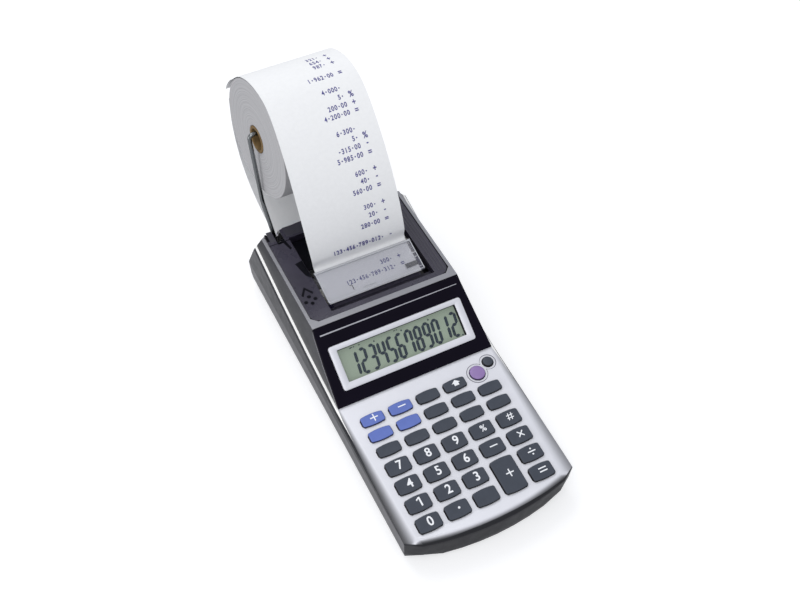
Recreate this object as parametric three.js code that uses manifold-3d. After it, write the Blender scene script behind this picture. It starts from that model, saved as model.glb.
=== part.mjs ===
// Palm-size printing calculator with a paper roll on a wire bail.
// Millimetres. X runs across the machine, Y from the keys to the paper roll, Z up.
import * as THREE from 'three';
import { mergeVertices } from 'three/addons/utils/BufferGeometryUtils.js';
import Module from 'manifold-3d';

const wasm = await Module();
wasm.setup();

// Driving sizes of the case
const caseLength = 230;
const caseWidth = 100.8;
const caseHeight = 52.2;
const halfLength = caseLength / 2;
const halfWidth = caseWidth / 2;
const partingHeightShare = 0.3736;
const partingHeight = caseHeight * partingHeightShare;
const caseWall = 2;
const frontBow = 5.4;
const rearBow = 3;
const cornerCutWidth = 8.4;
const cornerCutDepth = 5.2;
const rearLean = 18.5;
const footHeight = 1;
const footRadius = 4.5;
const footInset = 22;
const floorThickness = 2.6;
const underEdgeHeightShare = 0.41023;
const underEdgeHeight = partingHeight * underEdgeHeightShare;
const underEdgeInset = 6;
const sideDraft = 1;

// Keypad deck and its rolled edges
const deckLengthShare = 0.41043;
const deckLength = caseLength * deckLengthShare;
const deckStand = 7.3;
const deckRearHeight = partingHeight + deckStand;
const deckRise = 7.545;
const deckAngle = Math.atan2(deckRise, deckLength);
const frontRollInset = 2.6;
const frontRollHeight = 1.2;
const frontLipDepth = 8.5;
const edgeRollWidth = 4.4;
const rearEdgeRollWidth = 2.2;
const edgeRollDrop = 2.4;
const rimInset = 5.2;
const rimHalfWidth = halfWidth - rimInset;
const shoulderRiseShare = 0.8268;

// Display bezel, frame, window and panel
const bezelRunShare = 0.16565;
const bezelRun = caseLength * bezelRunShare;
const bezelFootStand = 1.3;
const bezelThickness = 1.5;
const bezelLipRun = 3.1;
const bezelLipDrop = 2.8;
const frameWidthShare = 0.81746;
const frameWidth = caseWidth * frameWidthShare;
const frameTopShare = 0.2;
const frameHeightShare = 0.6;
const frameBorder = 4.3;
const frameBottomBorder = 3;
const frameThickness = 2.2;
const frameProud = 0.4;
const frameCorner = 1.3;
const windowThickness = 1;
const windowRecess = 0.8;
const lcdThickness = 2.4;
const lcdBorder = 2;

// Key grid
const columnPitchShare = 0.16766;
const columnPitch = caseWidth * columnPitchShare;
const columnGap = 3.5;
const keyWidth = columnPitch - columnGap;
const firstRowFromBezelShare = 0.14089;
const firstRowFromBezel = deckLength * firstRowFromBezelShare;
const shortRowPitchShare = 0.10487;
const shortRowPitch = deckLength * shortRowPitchShare;
const midRowPitchShare = 0.11758;
const midRowPitch = deckLength * midRowPitchShare;
const tallRowPitchShare = 0.12288;
const tallRowPitch = deckLength * tallRowPitchShare;
const tallRowGap = 3.1;
const shortRowGap = 3.5;
const tallKeyDepth = tallRowPitch - tallRowGap;
const shortKeyDepth = shortRowPitch - shortRowGap;
const keyBow = 0.7;
const keyCorner = 1.2;
const keyProud = 1.4;
const keyTravel = 1.2;
const keyFlange = 0.7;
const keyFlangeThickness = 1;
const keyTopChamfer = 0.4;
const clearKeyRadius = 4.5;
const powerKeyRadius = 3.2;
const roundKeyFlange = 0.5;
const roundKeySides = 14;
const clearKeyShiftX = 1.5;
const clearKeyShiftY = 1.6;
const powerKeyShiftX = 8.9;
const powerKeyShiftY = 4;
const matThickness = 1;
const boardThickness = 1.6;
const postRadius = 1.3;

// Printer cover with its recess, and the clear cutter window
const paperWidthShare = 0.57242;
const paperWidth = caseWidth * paperWidthShare;
const rimFrontWidth = 4.2;
const rimSideWidth = 1.9;
const coverThickness = 1.6;
const coverDrop = 0.4;
const coverCorner = 3.5;
const ledgeWidth = 2;
const coverTravel = 3;
const recessLeftMargin = 1.35;
const recessRightMargin = 5.55;
const recessLeft = paperWidth / 2 + recessLeftMargin;
const recessRight = paperWidth / 2 + recessRightMargin;
const recessFrontMargin = 3.5;
const recessLengthShare = 0.26435;
const recessLength = caseLength * recessLengthShare;
const recessDepth = 5;
const recessWall = 1.2;
const recessApron = 5.5;
const cutterOverlap = 2.9;
const cutterWidth = paperWidth + cutterOverlap;
const cutterShift = 1.2;
const cutterReachShare = 0.07826;
const cutterReach = caseLength * cutterReachShare;
const cutterRise = 4;
const cutterThickness = 1.2;
const cutterTeeth = 30;
const toothDepth = 0.9;
const cutterFootDepth = 6;
const cutterFootWidth = 2;

// Paper roll, its core, the wire bail and the two stretches of paper
const paperThickness = 0.4;
const rollRadius = 35;
const rollShift = 5.3;
const rollBehindPivot = 25.2;
const rollAbovePivot = 71.7;
const rollYaw = THREE.MathUtils.degToRad(4.56);
const rollTilt = THREE.MathUtils.degToRad(3.16);
const coreRadius = 8;
const coreBoreRadius = 6.3;
const wireRadius = 1.25;
const wireBend = 3;
const armClearance = 6.15;
const kinkSpread = 2.3;
const topSpread = 3.3;
const rightTuck = 1.8;
const bailFootHalf = paperWidth / 2 + armClearance;
const bailKinkHalf = bailFootHalf + kinkSpread;
const bailTopHalf = bailFootHalf + topSpread;
const bailEndLengthShare = 0.416;
const bailEndLength = paperWidth * bailEndLengthShare;
const kinkBehindPivot = 15.5;
const kinkAbovePivot = 32;
const pivotFromRearShare = 0.10652;
const pivotFromRear = caseLength * pivotFromRearShare;
const pivotHeightShare = 0.6705;
const pivotHeight = caseHeight * pivotHeightShare;
const notchWidth = 4.6;
const notchDepth = 9.5;
const stopAbovePivot = 9.5;
const slotHeight = 3.6;
const slotStand = 2.1;
const webSlotHeight = partingHeight + slotStand;
const webBackOff = 3.5;
const webOverBase = 1.2;
const webBellyHeight = 24.4;
const webBellyBack = 27;
const tapeStandOff = 0.8;
const tapeFirstReach = 53.9;
const tapeLastReach = 18.5;
const tapeLean = 19.1;
const tapeLeanAside = 0.2;
const tapeShift = 0.74;
const tapeTailLift = 4;
const tapeWrapStart = 109;
const tapeWrapEnd = 12;
const webWrapStart = 6;

// Battery bay, its cover and the power socket
const bayWidthShare = 0.59524;
const bayWidth = caseWidth * bayWidthShare;
const bayLengthShare = 0.25217;
const bayLength = caseLength * bayLengthShare;
const bayWall = 1.4;
const bayTopDrop = 0.9;
const bayHeight = partingHeight - footHeight - floorThickness - bayTopDrop;
const batteryCoverThickness = 1.1;
const batteryCoverLap = 3;
const jackWidth = 9;
const jackDepth = 11;
const jackHeightShare = 0.4615;
const jackHeight = partingHeight * jackHeightShare;
const jackBore = 2.7;
const jackFromRear = 20;

// Printer mechanism, sized to the room between the battery bay and the cover
const paperSideRoom = 4.15;
const printerHalfWidth = paperWidth / 2 + paperSideRoom;
const printerBaseHeight = partingHeight + slotStand;
const printerBaseThickness = 1.6;
const printerRoomShare = 0.13304;
const printerRoom = Math.min(caseHeight - printerBaseHeight, caseLength * printerRoomShare);
const sidePlateThickness = 1.8;
const feedRollerRadiusShare = 0.1503;
const feedRollerRadius = printerRoom * feedRollerRadiusShare;
const rollerOverhang = 2.3;
const feedRollerLength = paperWidth + rollerOverhang;
const shaftRadius = 1.5;
const feedGearTeeth = 24;
const pinionTeeth = 10;
const gearModuleShare = 0.02614;
const gearModule = printerRoom * gearModuleShare;
const gearThickness = 2.4;
const toothGap = 0.5;
const typeDrumRadiusShare = 0.1961;
const typeDrumRadius = printerRoom * typeDrumRadiusShare;
const printMargin = 1.7;
const typeDrumLength = paperWidth - printMargin;
const typeRings = 8;
const inkRollerRadiusShare = 0.1373;
const inkRollerRadius = printerRoom * inkRollerRadiusShare;
const inkRollerLength = paperWidth - printMargin;
const motorRadiusShare = 0.281;
const motorRadius = printerRoom * motorRadiusShare;
const motorLength = 26;
const shaftHeightShare = 0.4379;
const feedRollerHeight = printerBaseHeight + printerRoom * shaftHeightShare;
const feedBehindCutter = 7;

// Fits
const gap = 0.3;
const keyGap = 0.35;
const runningGap = 0.3;
const overrun = 3;
const arcStepCount = 8;
const rollStepCount = 5;
const frontRollSteps = 4;
const bendStepCount = 4;
const sheetStrips = 4;
const wireSides = 8;

// Derived lines of the side view
const deckSlope = Math.tan(deckAngle);
const bezelFootY = deckLength - halfLength;
const bezelTopY = bezelFootY + bezelRun;
const bezelFootZ = deckRearHeight + bezelFootStand;
const ridgeY = bezelTopY - bezelLipRun;
const ridgeZ = caseHeight - bezelLipDrop;
const bezelAngle = Math.atan2(ridgeZ - bezelFootZ, ridgeY - bezelFootY);
const bezelLength = Math.hypot(ridgeZ - bezelFootZ, ridgeY - bezelFootY);
const lipAngle = Math.atan2(bezelLipDrop, bezelLipRun);
const rearTopY = halfLength - rearLean;
const deckZ = (y) => deckRearHeight + (y - bezelFootY) * deckSlope;

const paint = (color, roughness, metalness) => (
  new THREE.MeshStandardMaterial({ color, roughness, metalness }));
const finishes = {
  silver: paint(0xd5d5de, 0.35, 0.35),
  darkGrey: paint(0x56545e, 0.4, 0.35),
  blackGloss: paint(0x15101c, 0.12, 0),
  chrome: paint(0xd8d8da, 0.12, 1),
  clear: paint(0xc9cfd0, 0.08, 0),
  lcd: paint(0x96a591, 0.4, 0),
  smoked: paint(0x4b4855, 0.15, 0),
  slate: paint(0x4b505a, 0.5, 0),
  blue: paint(0x788ccd, 0.5, 0),
  purple: paint(0x8264a5, 0.5, 0),
  rubber: paint(0x9a9aa0, 0.8, 0),
  board: paint(0x2f6b45, 0.6, 0),
  paper: paint(0xf2f2f2, 0.8, 0),
  cardboard: paint(0x7a6138, 0.9, 0),
  nylon: paint(0xe8e6de, 0.5, 0),
  black: paint(0x1c1c1f, 0.6, 0),
  ink: paint(0x4a3f8f, 0.8, 0),
  steel: paint(0xb0b2b5, 0.3, 0.9),
};

const calculator = new THREE.Group();

// Adds one named piece
function addPiece(name, geometry, finish, parent = calculator) {
  const mesh = new THREE.Mesh(geometry, finishes[finish]);
  mesh.name = name;
  parent.add(mesh);
  return mesh;
}

// Turns a closed geometry into a solid for joining and cutting
function toSolid(geometry) {
  const plain = geometry.clone();
  plain.deleteAttribute('normal');
  plain.deleteAttribute('uv');
  const merged = mergeVertices(plain);
  return new wasm.Manifold(new wasm.Mesh({
    numProp: 3,
    vertProperties: new Float32Array(merged.attributes.position.array),
    triVerts: new Uint32Array(merged.index.array),
  }));
}

// Turns a solid back into a geometry
function toGeometry(solid) {
  const mesh = solid.getMesh();
  const geometry = new THREE.BufferGeometry();
  geometry.setAttribute('position', new THREE.BufferAttribute(new Float32Array(mesh.vertProperties), 3));
  geometry.setIndex(new THREE.BufferAttribute(new Uint32Array(mesh.triVerts), 1));
  geometry.computeVertexNormals();
  return geometry;
}

// Box between two corners
function block(low, high) {
  const size = high.map((value, axis) => value - low[axis]);
  const geometry = new THREE.BoxGeometry(...size);
  geometry.translate(...high.map((value, axis) => (value + low[axis]) / 2));
  return geometry;
}

// Cylinder along X between two places
function rod(radius, x0, x1, y, z, sides = 24) {
  const geometry = new THREE.CylinderGeometry(radius, radius, x1 - x0, sides);
  geometry.rotateZ(-Math.PI / 2);
  geometry.translate((x0 + x1) / 2, y, z);
  return geometry;
}

// Prism of an outline in X and Y between two heights
function prism(outline, zLow, zHigh) {
  const shape = new THREE.Shape(outline.map(([x, y]) => new THREE.Vector2(x, y)));
  const geometry = new THREE.ExtrudeGeometry(shape, { depth: zHigh - zLow, bevelEnabled: false });
  geometry.translate(0, 0, zLow);
  return geometry;
}

// Prism of an outline in Y and Z between two places across the machine
function sidePrism(outline, xLow, xHigh) {
  const geometry = prism(outline, xLow, xHigh);
  geometry.applyMatrix4(new THREE.Matrix4().set(0, 0, 1, 0, 1, 0, 0, 0, 0, 1, 0, 0, 0, 0, 0, 1));
  return geometry;
}

// Closed body through rings of equal point counts, its two ends capped
function loft(rings) {
  const count = rings[0].length;
  const points = rings.flat();
  const faces = [];
  for (let ring = 0; ring + 1 < rings.length; ring += 1) {
    for (let i = 0; i < count; i += 1) {
      const a = ring * count + i;
      const b = ring * count + ((i + 1) % count);
      faces.push(a, b, b + count, a, b + count, a + count);
    }
  }
  const flat = (ring) => {
    const spanX = Math.max(...ring.map((p) => p[0])) - Math.min(...ring.map((p) => p[0]));
    const spanY = Math.max(...ring.map((p) => p[1])) - Math.min(...ring.map((p) => p[1]));
    const spanZ = Math.max(...ring.map((p) => p[2])) - Math.min(...ring.map((p) => p[2]));
    const drop = [spanX, spanY, spanZ].indexOf(Math.min(spanX, spanY, spanZ));
    return ring.map((p) => new THREE.Vector2(...p.filter((_, axis) => axis !== drop)));
  };
  for (const [ring, turned] of [[0, true], [rings.length - 1, false]]) {
    const outline = flat(rings[ring]);
    const clockwise = THREE.ShapeUtils.isClockWise(outline);
    const ordered = clockwise ? outline.slice().reverse() : outline;
    for (const face of THREE.ShapeUtils.triangulateShape(ordered, [])) {
      const corners = face.map((i) => (clockwise ? count - 1 - i : i) + ring * count);
      const forward = turned !== clockwise;
      faces.push(...(forward ? corners.reverse() : corners));
    }
  }
  const geometry = new THREE.BufferGeometry();
  geometry.setAttribute('position', new THREE.Float32BufferAttribute(points.flat(), 3));
  geometry.setIndex(faces);
  if (signedVolume(geometry) < 0) {
    geometry.setIndex(faces.reverse());
  }
  geometry.computeVertexNormals();
  return geometry;
}

// Volume inside a closed indexed geometry, negative when it is inside out
function signedVolume(geometry) {
  const place = geometry.attributes.position;
  const corner = (i) => new THREE.Vector3().fromBufferAttribute(place, geometry.index.getX(i));
  let total = 0;
  for (let i = 0; i < geometry.index.count; i += 3) {
    total += corner(i).dot(corner(i + 1).cross(corner(i + 2)));
  }
  return total;
}

// Plan outline of the case: bowed front and rear, cut corners
function planOutline(inset, frontY, rearY) {
  const half = halfWidth - inset;
  const cut = half - cornerCutWidth;
  const points = [];
  for (let i = 0; i <= arcStepCount; i += 1) {
    const share = (2 * i) / arcStepCount - 1;
    points.push([cut * share, frontY + frontBow * share * share]);
  }
  points.push([half, frontY + frontBow + cornerCutDepth]);
  points.push([half, rearY - rearBow - cornerCutDepth]);
  for (let i = 0; i <= arcStepCount; i += 1) {
    const share = 1 - (2 * i) / arcStepCount;
    points.push([cut * share, rearY - rearBow * share * share]);
  }
  points.push([-half, rearY - rearBow - cornerCutDepth]);
  points.push([-half, frontY + frontBow + cornerCutDepth]);
  return points;
}

const ringAt = (outline, z) => outline.map(([x, y]) => [x, y, z]);

// Body of the lower case, or its inside when the inset is a wall
function lowerBody(inset, bottom, top) {
  const shoulder = footHeight + underEdgeHeight;
  const levels = [
    [underEdgeInset, bottom],
    [underEdgeInset / 2.6, bottom + (shoulder - bottom) * 0.4],
    [sideDraft, Math.max(shoulder, bottom + inset)],
    [0, partingHeight],
  ];
  const rings = levels.map(([shrink, z]) => {
    const total = shrink + inset;
    return ringAt(planOutline(total, total - halfLength, halfLength - total), z);
  });
  rings.push(ringAt(planOutline(inset, inset - halfLength, halfLength - inset), top));
  return toSolid(loft(rings));
}

// Height of the side shoulder: along the deck in front, then rising steeply to the rim
function shoulderHeight(y) {
  if (y <= bezelFootY) {
    return Math.max(deckZ(y), partingHeight + frontRollHeight);
  }
  const share = (y - bezelFootY) / (rearTopY - bezelFootY);
  const rise = (caseHeight - deckRearHeight) * shoulderRiseShare;
  return deckRearHeight + rise * (0.55 * share + 0.45 * share * share);
}

// Cross-section of the upper case: upright side, rolled edge, then the drafted wall up to the rim
function crossSection(y, inset) {
  const inDeck = y <= bezelFootY;
  const share = THREE.MathUtils.clamp((y + halfLength) / deckLength, 0, 1);
  const edge = THREE.MathUtils.lerp(edgeRollWidth, rearEdgeRollWidth, share);
  const top = shoulderHeight(y) - inset;
  const rise = Math.max(top - partingHeight, gap);
  const drop = Math.min(rise, edgeRollDrop);
  const half = halfWidth - inset;
  const capZ = caseHeight + overrun * 2;
  const capHalf = inDeck ? half - edge - gap : rimHalfWidth - inset;
  const right = [[half, 0], [half, Math.min(partingHeight, top - drop - gap)]];
  for (let i = 0; i <= rollStepCount; i += 1) {
    const turn = (i * Math.PI) / 2 / rollStepCount;
    right.push([half - edge + edge * Math.cos(turn), top - drop + drop * Math.sin(turn)]);
  }
  right.push([capHalf, inDeck ? top + rise : caseHeight - inset], [capHalf, capZ]);
  const left = right.map(([x, z]) => [-x, z]).reverse();
  return right.concat(left).map(([x, z]) => [x, y, z]);
}

// Side view of the upper case with the seat of the bezel let in
function sideOutline(inset) {
  const seat = bezelThickness + gap + inset;
  const top = caseHeight - inset;
  const riserY = bezelTopY + gap + inset;
  const seatLine = (y) => bezelFootZ - seat / Math.cos(bezelAngle) + (y - bezelFootY) * Math.tan(bezelAngle);
  const lipLine = (y) => ridgeZ - seat / Math.cos(lipAngle) + (y - ridgeY) * Math.tan(lipAngle);
  const lipY = ridgeY + seat * Math.tan((lipAngle + bezelAngle) / 2) * Math.cos(bezelAngle) * 0.5;
  const bendY = Math.min(lipY, riserY);
  const deckLine = (y) => deckZ(y) - inset;
  const lipTop = partingHeight + frontRollHeight - inset;
  const lipRear = frontRollInset + frontLipDepth - halfLength;
  const footRun = (deckLine(bezelFootY) - seatLine(bezelFootY)) / (Math.tan(bezelAngle) - deckSlope);
  const footY = bezelFootY + Math.max(footRun, 0);
  const front = -halfLength - overrun;
  const rear = halfLength + overrun;
  return [
    [front, 0],
    [front, lipTop],
    [frontRollInset - halfLength, lipTop],
    [lipRear, deckLine(lipRear)],
    [footY, Math.min(deckLine(footY), seatLine(footY))],
    [bendY, seatLine(bendY)],
    [riserY, Math.max(Math.min(lipLine(riserY), top - gap), seatLine(bendY) + gap)],
    [riserY, top],
    [rear, top],
    [rear, 0],
  ];
}

// Body of the upper case, or its inside when the inset is a wall
function upperBody(inset) {
  const leanTo = (z) => halfLength - inset - (rearLean * (z - partingHeight)) / (caseHeight - partingHeight);
  const low = partingHeight - (inset > 0 ? overrun : 0);
  const high = caseHeight + overrun;
  const levels = [[0, low]];
  for (let i = 1; i <= frontRollSteps; i += 1) {
    const turn = (i * Math.PI) / 2 / frontRollSteps;
    levels.push([frontRollInset * (1 - Math.cos(turn)), partingHeight + frontRollHeight * Math.sin(turn)]);
  }
  levels.push([frontRollInset, high]);
  const plan = toSolid(loft(levels.map(([shrink, z]) => ringAt(
    planOutline(inset, inset + shrink - halfLength, leanTo(z)), z))));
  const stations = [-halfLength - overrun, bezelFootY, bezelFootY + gap, bezelTopY,
    (bezelTopY + rearTopY) / 2, rearTopY, halfLength + overrun];
  const sections = toSolid(loft(stations.map((y) => crossSection(y, inset))));
  const side = toSolid(sidePrism(sideOutline(inset), -caseWidth, caseWidth));
  return plan.intersect(side).intersect(sections);
}

// Keys: name, column, row, depth, rows spanned, finish
const rowPitches = [0, shortRowPitch, shortRowPitch, midRowPitch, tallRowPitch, tallRowPitch, tallRowPitch];
const rowY = [];
rowPitches.reduce((sum, pitch, row) => {
  rowY[row] = bezelFootY - firstRowFromBezel - sum - pitch;
  return sum + pitch;
}, 0);
const columnX = [-2, -1, 0, 1, 2].map((step) => step * columnPitch);
const shortRowCount = 3;
const keyList = [
  ['key_tax_plus', 0, 0, 'blue'], ['key_tax_minus', 1, 0, 'blue'], ['key_print', 2, 0, 'slate'],
  ['key_shift', 3, 0, 'slate'], ['key_convert_rate', 0, 1, 'blue'], ['key_local', 1, 1, 'blue'],
  ['key_cost', 2, 1, 'slate'], ['key_sell', 3, 1, 'slate'], ['key_margin', 4, 1, 'slate'],
  ['key_rounding', 0, 2, 'slate'], ['key_decimal_places', 1, 2, 'slate'],
  ['key_memory_recall', 2, 2, 'slate'],
  ['key_memory_plus', 3, 2, 'slate'], ['key_memory_minus', 4, 2, 'slate'], ['key_7', 0, 3, 'slate'],
  ['key_8', 1, 3, 'slate'], ['key_9', 2, 3, 'slate'], ['key_percent', 3, 3, 'slate'],
  ['key_number_sign', 4, 3, 'slate'], ['key_4', 0, 4, 'slate'], ['key_5', 1, 4, 'slate'],
  ['key_6', 2, 4, 'slate'], ['key_minus', 3, 4, 'slate'], ['key_multiply', 4, 4, 'slate'],
  ['key_1', 0, 5, 'slate'], ['key_2', 1, 5, 'slate'], ['key_3', 2, 5, 'slate'],
  ['key_plus', 3, 5, 'slate', 2],
  ['key_divide', 4, 5, 'slate'], ['key_0', 0, 6, 'slate'], ['key_point', 1, 6, 'slate'],
  ['key_conversion', 2, 6, 'slate'], ['key_equals', 4, 6, 'slate'],
];

// The deck's own frame: origin on the deck at the bezel's foot, turned to the deck's slope
const deck = new THREE.Group();
deck.position.set(0, bezelFootY, deckRearHeight);
deck.rotation.x = deckAngle;
calculator.add(deck);
deck.updateMatrix();
const alongDeck = (y) => (y - bezelFootY) / Math.cos(deckAngle);

// Outline of a key with bowed front and rear edges, grown all round
function keyOutline(x, y, width, depth, grow) {
  const w = width / 2 + grow;
  const d = depth / 2 + grow - keyBow;
  const c = keyCorner;
  return [[x - w + c, y - d - keyBow * 0.45], [x, y - d - keyBow], [x + w - c, y - d - keyBow * 0.45],
    [x + w, y - d + c], [x + w, y + d - c], [x + w - c, y + d + keyBow * 0.45], [x, y + d + keyBow],
    [x - w + c, y + d + keyBow * 0.45], [x - w, y + d - c], [x - w, y - d + c]];
}

// Outline of a round key
function roundOutline(x, y, radius) {
  return Array.from({ length: roundKeySides }, (_, i) => {
    const turn = (i * 2 * Math.PI) / roundKeySides;
    return [x + radius * Math.cos(turn), y + radius * Math.sin(turn)];
  });
}

// Every key's outline as a function of how far it is grown, in the deck's frame
const keys = keyList.map(([name, column, row, finish, span = 1]) => {
  const x = columnX[column];
  const yFar = alongDeck(rowY[row]);
  const yNear = alongDeck(rowY[row + span - 1]);
  const depth = (row < shortRowCount ? shortKeyDepth : tallKeyDepth) + yFar - yNear;
  const y = (yFar + yNear) / 2;
  return { name, finish, flange: keyFlange, outline: (grow) => keyOutline(x, y, keyWidth, depth, grow) };
});
const clearKeyX = columnX[4] - clearKeyShiftX;
const clearKeyY = alongDeck(rowY[0]) + clearKeyShiftY;
keys.push({
  name: 'key_clear',
  finish: 'purple',
  flange: roundKeyFlange,
  outline: (grow) => roundOutline(clearKeyX, clearKeyY, clearKeyRadius + grow),
});
keys.push({
  name: 'key_power_off',
  finish: 'slate',
  flange: roundKeyFlange,
  outline: (grow) => roundOutline(
    clearKeyX + powerKeyShiftX, clearKeyY + powerKeyShiftY, powerKeyRadius + grow),
});

// One key: a cap through the panel on a flange under it
for (const key of keys) {
  const flangeTop = -caseWall - gap;
  const rings = [
    ringAt(key.outline(key.flange), flangeTop - keyFlangeThickness),
    ringAt(key.outline(key.flange), flangeTop),
    ringAt(key.outline(0), flangeTop),
    ringAt(key.outline(0), keyProud - keyTopChamfer),
    ringAt(key.outline(-keyTopChamfer), keyProud),
  ];
  addPiece(key.name, loft(rings), key.finish, deck);
}

// Rubber mat and circuit board under the keys, in the deck's frame
const matTop = -caseWall - gap - keyFlangeThickness - keyTravel - gap;
const padFront = alongDeck(rowY[6]) - tallKeyDepth / 2 - keyFlange;
const padRear = clearKeyY + powerKeyShiftY + powerKeyRadius + roundKeyFlange;
const padHalf = halfWidth - caseWall - rearEdgeRollWidth - sideDraft;
const padOutline = [[-padHalf, padRear], [-padHalf, padFront + cornerCutDepth],
  [-padHalf + cornerCutWidth, padFront], [padHalf - cornerCutWidth, padFront],
  [padHalf, padFront + cornerCutDepth], [padHalf, padRear]];
addPiece('key_mat', prism(padOutline, matTop - matThickness, matTop), 'rubber', deck);
const boardTop = matTop - matThickness - gap;
addPiece('main_board', prism(padOutline, boardTop - boardThickness, boardTop), 'board', deck);

// The bezel's own frame: origin at its foot, Y up the slope, Z out of its face
const bezelPlace = new THREE.Group();
bezelPlace.position.set(0, bezelFootY, bezelFootZ);
bezelPlace.rotation.x = bezelAngle;
calculator.add(bezelPlace);
bezelPlace.updateMatrix();
const frameTop = bezelLength * (1 - frameTopShare);
const frameLow = frameTop - bezelLength * frameHeightShare;
const windowLow = frameLow + frameBottomBorder;
const windowHigh = frameTop - frameBottomBorder;
const windowHalf = frameWidth / 2 - frameBorder;

// Rectangle with cut corners in the bezel's frame
function cutRectangle(half, low, high, corner) {
  return [[-half + corner, low], [half - corner, low], [half, low + corner], [half, high - corner],
    [half - corner, high], [-half + corner, high], [-half, high - corner], [-half, low + corner]];
}

const placed = (geometry, group) => toSolid(geometry.clone().applyMatrix4(group.matrix));
const frameOutside = (grow) => (
  cutRectangle(frameWidth / 2 + grow, frameLow - grow, frameTop + grow, frameCorner));

// Lower case: tub with the battery bay, the sliding cover's recess, the socket's hole and feet
const bayRear = halfLength - underEdgeInset - batteryCoverLap;
const bayFront = bayRear - bayLength;
const floorTop = footHeight + floorThickness;
const bayTop = floorTop + bayHeight;
const jackY = halfLength - jackFromRear;
const jackZ = partingHeight - jackHeight / 2 - caseWall;
let lower = lowerBody(0, footHeight, partingHeight - gap / 2);
lower = lower.subtract(lowerBody(caseWall, floorTop, partingHeight + overrun));
const bayBox = (grow, low, high) => toSolid(block([-bayWidth / 2 - grow, bayFront - grow, low],
  [bayWidth / 2 + grow, bayRear + grow, high]));
lower = lower.add(bayBox(bayWall, footHeight + batteryCoverThickness + gap, bayTop + bayWall));
lower = lower.subtract(bayBox(0, 0, bayTop));
const coverHalf = bayWidth / 2 + batteryCoverLap;
const coverFront = bayFront - batteryCoverLap;
lower = lower.subtract(toSolid(block([-coverHalf - gap, coverFront - gap, 0],
  [coverHalf + gap, halfLength + overrun, footHeight + batteryCoverThickness + gap])));
const footX = halfWidth - underEdgeInset - footRadius - gap;
for (const x of [-footX, footX]) {
  for (const y of [footInset - halfLength, halfLength - footInset]) {
    const foot = new THREE.CylinderGeometry(footRadius, footRadius - gap, footHeight * 2, roundKeySides);
    foot.rotateX(Math.PI / 2);
    foot.translate(x, y, footHeight);
    lower = lower.add(toSolid(foot));
  }
}
const jackHole = rod(
  jackBore + gap, halfWidth - caseWall * 3, halfWidth + overrun, jackY, jackZ, roundKeySides);
lower = lower.subtract(toSolid(jackHole));
addPiece('lower_case', toGeometry(lower), 'darkGrey');
addPiece('battery_cover', block([-coverHalf, coverFront, footHeight],
  [coverHalf, bayRear + batteryCoverLap - gap, footHeight + batteryCoverThickness]), 'darkGrey');

// Power socket inside the right wall
const jackOut = halfWidth - sideDraft - caseWall - gap;
const jackBody = toSolid(block([jackOut - jackDepth, jackY - jackWidth / 2, jackZ - jackHeight / 2],
  [jackOut, jackY + jackWidth / 2, jackZ + jackHeight / 2]));
const jackHollow = toSolid(rod(jackBore, jackOut - jackDepth + caseWall, jackOut + overrun, jackY, jackZ,
  roundKeySides));
addPiece('power_jack', toGeometry(jackBody.subtract(jackHollow)), 'black');

// Cover opening: a ledge carries the cover, and the cover runs out to the rear edge
const coverHalfWidth = rimHalfWidth - rimSideWidth - gap;
const coverFrontY = bezelTopY + rimFrontWidth;
const coverTop = caseHeight - coverDrop;
const coverLow = coverTop - coverThickness;
const recessFrontY = coverFrontY + recessFrontMargin;
const recessRearY = recessFrontY + recessLength;
const pivotY = halfLength - pivotFromRear;

// Plan outline of the cover, or of its opening when grown
function coverOutline(grow, rear) {
  const half = coverHalfWidth + grow;
  const front = coverFrontY - grow;
  const points = [[-half + coverCorner, front], [half - coverCorner, front], [half, front + coverCorner]];
  for (let i = 0; i <= arcStepCount; i += 1) {
    const share = 1 - (2 * i) / arcStepCount;
    points.push([half * share, rear - rearBow * share * share]);
  }
  points.push([-half, front + coverCorner]);
  return points;
}

// Upper case: shell with the openings for keys, display, cover, bail and paper
let upper = upperBody(0).subtract(upperBody(caseWall));
for (const key of keys) {
  upper = upper.subtract(placed(prism(key.outline(keyGap), -caseWall * 2, caseWall), deck));
}
const postX = (columnX[4] + keyWidth / 2 + keyFlange + padHalf) / 2;
for (const x of [-postX, postX]) {
  for (const y of [rowY[1], rowY[rowY.length - 2]]) {
    const post = roundOutline(x, alongDeck(y), postRadius);
    upper = upper.add(placed(prism(post, matTop + gap, -caseWall / 2), deck));
  }
}
const lcdHoleHalf = windowHalf + lcdBorder + gap;
const lcdHole = cutRectangle(lcdHoleHalf, windowLow - lcdBorder - gap, windowHigh + lcdBorder + gap, gap);
upper = upper.subtract(placed(prism(lcdHole, -caseWall * 4, caseWall), bezelPlace));
const frameSeat = frameOutside(gap);
upper = upper.subtract(placed(prism(frameSeat, frameProud - frameThickness - gap, caseWall), bezelPlace));
upper = upper.subtract(toSolid(prism(coverOutline(gap, halfLength + rearLean), coverLow - gap,
  caseHeight + overrun)));
upper = upper.subtract(toSolid(block([-coverHalfWidth + ledgeWidth, coverFrontY + ledgeWidth,
  coverLow - caseWall * 4], [coverHalfWidth - ledgeWidth, rearTopY - rearBow - caseWall * 2, caseHeight])));
for (const side of [-1, 1]) {
  const x = side * (bailFootHalf + gap);
  upper = upper.subtract(toSolid(block([x - notchWidth / 2, pivotY - caseWall, pivotHeight + stopAbovePivot],
    [x + notchWidth / 2, halfLength, caseHeight + overrun])));
}
const webHalf = paperWidth / 2 + gap * 4;
upper = upper.subtract(toSolid(block([-webHalf - caseWall, rearTopY, webSlotHeight - slotHeight / 2],
  [webHalf + caseWall, halfLength + overrun, webSlotHeight + slotHeight / 2])));
addPiece('upper_case', toGeometry(upper), 'silver');

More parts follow.
